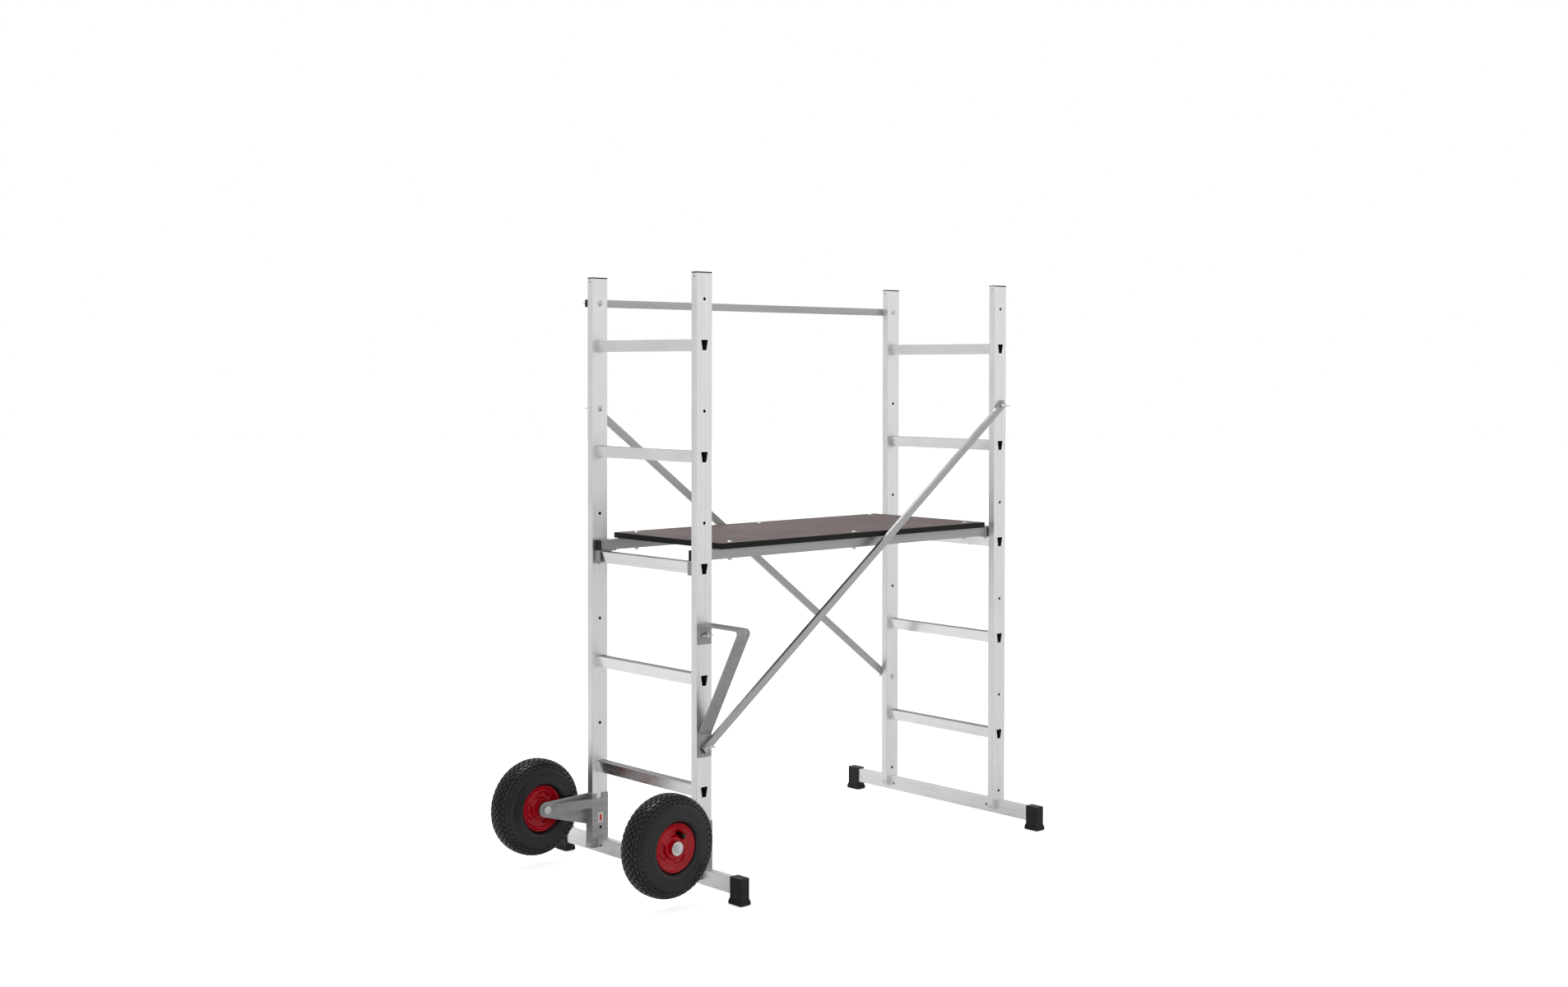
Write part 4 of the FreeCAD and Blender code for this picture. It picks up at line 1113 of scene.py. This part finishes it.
    def seat(self, offset: float) -> Matrix:
        """Matrix that stands a block on the carcass.

        Args:
            offset: The block's offset from the middle plane.

        Returns:
            Its place on the tyre's local X axis, square to the surface there.
        """
        angle = math.acos(math.copysign(abs(offset / self.half_width) ** (1 / self.roundness), offset))
        nudge = 0.01
        slope = (Vector(self.carcass_point(angle - nudge)) - Vector(self.carcass_point(angle + nudge))).normalized()
        normal = Vector((slope.y, -slope.x))
        if normal.x < 0:
            normal.negate()
        radius, height = self.carcass_point(angle)
        base = Matrix((Vector((0, -1, 0)), Vector((-normal.y, 0, normal.x)), Vector((normal.x, 0, normal.y))))
        foot = Vector((radius - self.sink * normal.x, 0, height - self.sink * normal.y))
        return Matrix.Translation(foot) @ base.transposed().to_4x4()

    def pressing(self, radius: float, angle: float) -> float:
        """How far the disc is pressed in at a point: a wall, a deeper floor and a raised ridge round each lobe.

        Args:
            radius: Distance from the axle.
            angle: Angle round it, in degrees.

        Returns:
            Depth of the pocket there, in metres, less than nothing on its ridge.
        """
        depth = 0.0
        from_lobe = radius - self.lobe_radius
        for middle in self.lobe_angles:
            turn = math.radians((angle - middle + 180) % 360 - 180)
            along = radius * turn + self.lobe_lean * from_lobe
            inside = math.hypot(from_lobe / self.lobe_reach, along / self.lobe_spread)
            depth += self.lobe_depth * eased((1.12 - inside) / 0.34)
            depth += self.floor_depth * eased((0.64 - inside) / 0.2)
            depth -= self.ridge_height * math.exp(-((inside - 1.3) / 0.16) ** 2)
        return depth

    def disc_height(self, radius: float) -> float:
        """Offset of the disc's outer face before its pockets are pressed."""
        rise = eased((self.crown_foot - radius) / self.crown_slope)
        return self.disc_flat + (self.disc_crown - self.disc_flat) * rise

    def build_rim(self) -> None:
        """Turn one pressed half with its lobed disc, mirror it, and open the valve's slot."""
        first, last = self.disc_radii
        radii = [first - step * (first - last) / self.disc_rings for step in range(self.disc_rings + 1)]
        for edge in self.slot_radii:
            nearest = min(range(len(radii)), key=lambda index: abs(radii[index] - edge))
            radii[nearest] = edge
        face = [(radius, self.disc_height(radius)) for radius in radii]
        back = [(radius, height - self.rim_wall) for radius, height in reversed(face)]
        hole = [(self.hub_radius, self.disc_crown), (self.hub_radius, self.disc_crown - self.rim_wall)]
        lip = arc(self.lip_centre, self.lip_radius, -95, 150, 12)
        outline = in_metres(self.outside_mm) + lip + in_metres(self.flange_mm) + face + hole + back
        bm = turned(outline + in_metres(self.barrel_mm), self.steps)
        for vert in bm.verts:
            radius, angle = polar(vert.co)
            if self.hub_radius + 0.5 * MM < radius < self.pressed_within and vert.co.z > self.pressed_above:
                vert.co.z -= self.pressing(radius, angle)
        bmesh.ops.mirror(bm, geom=bm.verts[:] + bm.edges[:] + bm.faces[:], axis="Z", merge_dist=MERGE)
        bmesh.ops.remove_doubles(bm, verts=bm.verts, dist=MERGE)
        self.cut_slot(bm)
        node = "rim_" + self.name
        self.bench.piece(node + "_pressed", self.in_place(bm), node, (node,))

    def cut_slot(self, bm: Shape) -> None:
        """Open a curved slot for the valve through the outer disc.

        Args:
            bm: The rim, in the wheel's own axes.
        """
        gone = []
        for face in bm.faces:
            centre = face.calc_center_median()
            radius, angle = polar(centre)
            in_ring = self.slot_radii[0] < radius < self.slot_radii[1]
            if in_ring and self.slot_angles[0] < angle < self.slot_angles[1] and centre.z > self.slot_above:
                gone.append(face)
        bmesh.ops.delete(bm, geom=gone, context="FACES")
        bmesh.ops.bridge_loops(bm, edges=[edge for edge in bm.edges if edge.is_boundary])

    def build_valve(self) -> None:
        """Rubber stem that comes up through the slot, with a brass core and a ridged cap."""
        bm = turned(in_metres(self.valve_mm), self.valve_flats)
        for vert in bm.verts:
            drop = min(max((self.bend_top - vert.co.z) / self.bend_height, 0.0), 1.0)
            vert.co.x += self.bend_reach * drop * drop
        ridge = block(*self.cap_ridge_size, 4, 0.6, 0.1 * MM)
        upright = Matrix.Translation(self.cap_ridge_seat) @ Matrix.Rotation(math.radians(90), 4, "Y")
        for step in range(self.cap_ridges):
            stamp(bm, ridge, Matrix.Rotation(FULL_TURN * step / self.cap_ridges, 4, "Z") @ upright)
        bpy.data.meshes.remove(ridge)
        core = turned(in_metres(self.core_mm), self.core_flats, True)
        turn = Matrix.Rotation(math.radians(self.valve_angle), 4, "Z")
        for shape in (bm, core):
            bmesh.ops.transform(shape, matrix=turn @ Matrix.Translation((self.valve_circle, 0, 0)), verts=shape.verts)
        node = "valve_" + self.name
        self.bench.piece(node + "_shaped", self.in_place(bm), node, (node,))
        self.bench.piece("valve_collar_" + self.name, self.in_place(core), node, (), (self.bench.book.of(BRASS_CORE),))


@dataclass
class Fixings(Assembly):
    """Wing nuts, their bolts, and the bolts, nuts, washers and rivets of the rest."""

    nut_names: tuple[str, ...] = ("guard_left", "guard_right", "rear_brace_top", "rear_brace_foot",
                                  "front_brace_top", "front_brace_foot", "handle")
    bolt_radius: float = 4.0 * MM
    head_radius: float = 8.0 * MM
    head_height: float = 4.5 * MM
    thread_pitch: float = 1.25 * MM
    thread_depth: float = 0.5 * MM
    thread_length: float = 16.0 * MM
    past_nut_base: float = 11.5 * MM
    flats: int = 28
    wing_edge: float = 0.8 * MM
    edges_mm: tuple[tuple[str, float], ...] = (
        ("crossbar_rivets", 0.2), ("deck_bolts", 0.25), ("deck_nuts", 0.5), ("axle_bolts", 0.5),
        ("axle_washers", 0.4), ("axle_nuts", 0.6), ("axle_spacers", 0.3))

    def bolt(self, length: float) -> Shape:
        """Domed bolt along +Z with its head below the origin.

        Args:
            length: Length of its shank.

        Returns:
            The bolt's mesh.
        """
        dome = (self.head_radius ** 2 + self.head_height ** 2) / (2 * self.head_height)
        spread = math.degrees(math.asin(self.head_radius / dome))
        head = arc((0.0, dome - self.head_height), dome, -90, -90 + spread, 8)
        head[0] = (0.0, -self.head_height)
        profile = head + [(self.head_radius, 0.0), (self.bolt_radius, 0.0)]
        ridges = int(self.thread_length / self.thread_pitch)
        start = length - ridges * self.thread_pitch
        for index in range(ridges):
            base = start + index * self.thread_pitch
            profile.append((self.bolt_radius, base))
            profile.append((self.bolt_radius - self.thread_depth, base + self.thread_pitch / 2))
        profile += [(self.bolt_radius - self.thread_depth, length), (0.0, length)]
        return turned(profile, self.flats)

    def build(self) -> None:
        """Make every fixing."""
        bolts = []
        for name in self.nut_names:
            node = "wing_nut_" + name
            self.bench.softened(node, self.wing_edge, 3)
            low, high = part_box(node)
            side = 1 if low.y > 0 else -1
            base = low.y if side > 0 else high.y
            inner_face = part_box("stile_left_far")[0].y
            start = Vector(((low.x + high.x) / 2, side * inner_face, (low.z + high.z) / 2))
            length = abs(base) + self.past_nut_base - inner_face
            bolts.append((self.bolt(length), standing(start, Vector((0, side, 0)))))
        self.bench.piece("frame_bolts_threaded", merged(bolts), "frame_bolts", ("frame_bolts",))
        for node, width in self.edges_mm:
            self.bench.softened(node, width * MM, 2)


@dataclass
class Deck(Assembly):
    """The platform: board, rails, hooks and plugs."""

    board_edge: float = 1.0 * MM
    steel_edge: float = 0.5 * MM
    rail_edge: float = 0.9 * MM
    plug_edge: float = 0.5 * MM

    def build(self) -> None:
        """Make every piece of the deck except its bolts and nuts."""
        bm = self.bench.copy_of("deck_board")
        soften(bm, self.board_edge, 2)
        for face in bm.faces:
            face.material_index = 0 if abs(face.normal.z) > FACING else 1
        materials = [self.bench.book.of(finish) for finish in (FINISHES["deck_film_board"], SEALED_EDGE)]
        self.bench.piece("deck_board_finished", bm, "deck_board", ("deck_board",), materials)
        for side in ("near", "far"):
            self.bench.softened("deck_rail_" + side, self.rail_edge, 3, Grain.ALONG_X, longer_than=LONG)
        self.bench.softened("rung_hooks", self.steel_edge, 2, Grain.ALONG_X)
        self.bench.softened("deck_rail_plugs", self.plug_edge, 2)


@dataclass
class Stiffeners(Assembly):
    """Guard rail, braces, push handle, wheel brackets and end caps."""

    tube_edge: float = 0.9 * MM
    steel_edge: float = 0.6 * MM
    plug_edge: float = 0.5 * MM
    cap_edge: float = 0.3 * MM
    bracket_wall: float = 3.0 * MM
    label_height: float = 116.0 * MM
    label_margin: float = 3.2 * MM
    label_size: Triple = (15.0 * MM, 0.3 * MM, 25.0 * MM)

    def build(self) -> None:
        """Make these pieces."""
        self.bench.softened("guard_rail", self.tube_edge, 3, Grain.ALONG_X, longer_than=LONG)
        self.bench.softened("guard_rail_plugs", self.plug_edge, 2)
        self.bench.softened("stile_end_caps", self.cap_edge, 1)
        for node, falls in (("front_brace", -1), ("rear_brace", 1)):
            low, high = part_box(node)
            slope = falls * math.atan2(high.z - low.z, high.x - low.x)
            self.bench.softened(node, self.tube_edge, 3, Grain.ALONG_X, slope, longer_than=LONG)
        self.bench.softened("push_handle", self.steel_edge)
        for side in ("near", "far"):
            self.bench.softened("wheel_bracket_" + side, self.steel_edge, 2, Grain.ALONG_X)
        self.build_label()

    def build_label(self) -> None:
        """Plain white label with a red field and no lettering, on the far bracket's inner plate."""
        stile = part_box("stile_left_far")
        middle = Vector(((stile[0].x + stile[1].x) / 2, stile[0].y - self.bracket_wall, self.label_height))
        bm = bmesh.new()
        bmesh.ops.create_cube(bm, size=1.0)
        bmesh.ops.scale(bm, verts=bm.verts, vec=self.label_size)
        bmesh.ops.translate(bm, verts=bm.verts, vec=middle - Vector((0, self.label_size[1] / 2, 0)))
        front = min(bm.faces, key=lambda face: face.calc_center_median().y)
        bmesh.ops.inset_region(bm, faces=[front], thickness=self.label_margin, use_even_offset=True)
        front.material_index = 1
        materials = [self.bench.book.of(finish) for finish in (LABEL_WHITE, LABEL_RED)]
        self.bench.piece("bracket_label", bm, "wheel_bracket_far", (), materials)


# ---- studio -------------------------------------------------------------------------------------
@dataclass(frozen=True)
class SoftBox:
    """One large soft light aimed at a point."""

    name: str
    place: Triple
    size: Pair
    power: float
    aim: Triple = (0.1, 0.0, 0.8)

    def hang(self) -> None:
        """Put the light in the scene."""
        lamp = bpy.data.lights.new(self.name, "AREA")
        lamp.shape = "RECTANGLE"
        lamp.size = self.size[0]
        lamp.size_y = self.size[1]
        lamp.energy = self.power
        holder = bpy.data.objects.new(self.name, lamp)
        holder.location = self.place
        holder.rotation_euler = (Vector(self.aim) - Vector(self.place)).to_track_quat("-Z", "Y").to_euler()
        bpy.context.scene.collection.objects.link(holder)


@dataclass
class Studio:
    """Pale floor, plain surroundings, soft lights and the camera."""

    camera_place: Triple = (-3.4641, -3.8126, 1.3147)
    heading: float = 47.356
    dip: float = 1.108
    roll: float = 0.097
    lens: float = 43.18
    sensor_width: float = 36.0
    frame_shift: float = -0.056
    far_limit: float = 100.0
    floor_radius: float = 30.0
    floor_drop: float = 0.5 * MM
    floor_sides: int = 96
    floor_tones: tuple[Colour, Colour] = (linear(0.86, 0.86, 0.86), linear(0.9, 0.9, 0.9))
    room_light: float = 0.74
    floor_glow: float = 0.62
    backdrop_light: float = 1.0
    lights: tuple[SoftBox, ...] = (
        SoftBox("key", (4.2, -4.6, 2.0), (4.0, 4.0), 14.0),
        SoftBox("top", (0.2, -0.2, 4.6), (4.0, 4.0), 10.0),
        SoftBox("overhead", (-0.5, 1.0, 3.0), (1.2, 0.7), 30.0, (-0.6, -0.2, 0.2)),
        SoftBox("left", (-5.2, -0.6, 2.4), (3.0, 3.0), 8.0),
    )

    def build(self) -> None:
        """Set up the studio."""
        bpy.context.scene.view_settings.view_transform = "Standard"
        self.build_surroundings()
        self.build_floor()
        for light in self.lights:
            light.hang()
        self.build_camera()

    def build_surroundings(self) -> None:
        """White backdrop that lights the scene a little less than it shows."""
        world = bpy.data.worlds.new("studio")
        world.use_nodes = True
        graph = Graph(world.node_tree)
        room, seen = (graph.add("ShaderNodeBackground", inputs={"Color": linear(1, 1, 1), "Strength": strength})
                      for strength in (self.room_light, self.backdrop_light))
        is_seen = graph.add("ShaderNodeLightPath").outputs["Is Camera Ray"]
        both = graph.add("ShaderNodeMixShader", inputs={0: is_seen, 1: room.outputs[0], 2: seen.outputs[0]})
        graph.add("ShaderNodeOutputWorld", inputs={"Surface": both.outputs[0]})
        bpy.context.scene.world = world

    def build_floor(self) -> None:
        """Round white floor just under the soles."""
        bm = bmesh.new()
        bmesh.ops.create_circle(bm, segments=self.floor_sides, radius=self.floor_radius, cap_ends=True)
        bmesh.ops.translate(bm, verts=bm.verts, vec=(0, 0, -self.floor_drop))
        mesh = as_mesh(bm, "floor")
        material = bpy.data.materials.new("floor")
        material.use_nodes = True
        graph = Graph(material.node_tree)
        place = graph.add("ShaderNodeTexCoord").outputs["Object"]
        tone = graph.blend(graph.noise(place, 2.0, 2.0), *self.floor_tones)
        is_seen = graph.add("ShaderNodeLightPath").outputs["Is Camera Ray"]
        glow = graph.math("MULTIPLY", is_seen, self.floor_glow)
        shader = graph.add("ShaderNodeBsdfPrincipled", inputs={
            "Base Color": tone, "Roughness": 0.9, "Specular IOR Level": 0.1, "Emission Color": linear(1, 1, 1),
            "Emission Strength": glow})
        graph.add("ShaderNodeOutputMaterial", inputs={"Surface": shader.outputs[0]})
        mesh.materials.append(material)
        floor = bpy.data.objects.new("floor", mesh)
        bpy.context.scene.collection.objects.link(floor)

    def build_camera(self) -> None:
        """Camera at the height of a person's chest, looking along both ladders."""
        heading = math.radians(self.heading)
        dip = math.radians(self.dip)
        forward = Vector((math.cos(heading) * math.cos(dip), math.sin(heading) * math.cos(dip), -math.sin(dip)))
        level = Vector((math.sin(heading), -math.cos(heading), 0.0))
        right = Matrix.Rotation(math.radians(-self.roll), 3, forward) @ level
        up = right.cross(forward)
        data = bpy.data.cameras.new("camera")
        data.lens = self.lens
        data.sensor_width = self.sensor_width
        data.sensor_fit = "HORIZONTAL"
        data.shift_y = self.frame_shift
        data.clip_end = self.far_limit
        camera = bpy.data.objects.new("camera", data)
        turn = Matrix((right, up, -forward)).transposed().to_4x4()
        camera.matrix_world = Matrix.Translation(self.camera_place) @ turn
        bpy.context.scene.collection.objects.link(camera)
        bpy.context.scene.camera = camera


def main() -> None:
    """Build the studio and every piece of the scaffold."""
    logging.basicConfig(level=logging.INFO, format="%(message)s")
    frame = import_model()
    Studio().build()
    bench = Bench(frame)
    for name in ("left", "right"):
        Ladder(bench, name).build()
        Foot(bench, f"foot_{name}_near", -1).build()
        Foot(bench, f"foot_{name}_far", 1).build()
    Stiffeners(bench).build()
    Deck(bench).build()
    Wheel(bench, "near", -1).build()
    Wheel(bench, "far", 1).build()
    Fixings(bench).build()


if __name__ == "__main__":
    main()
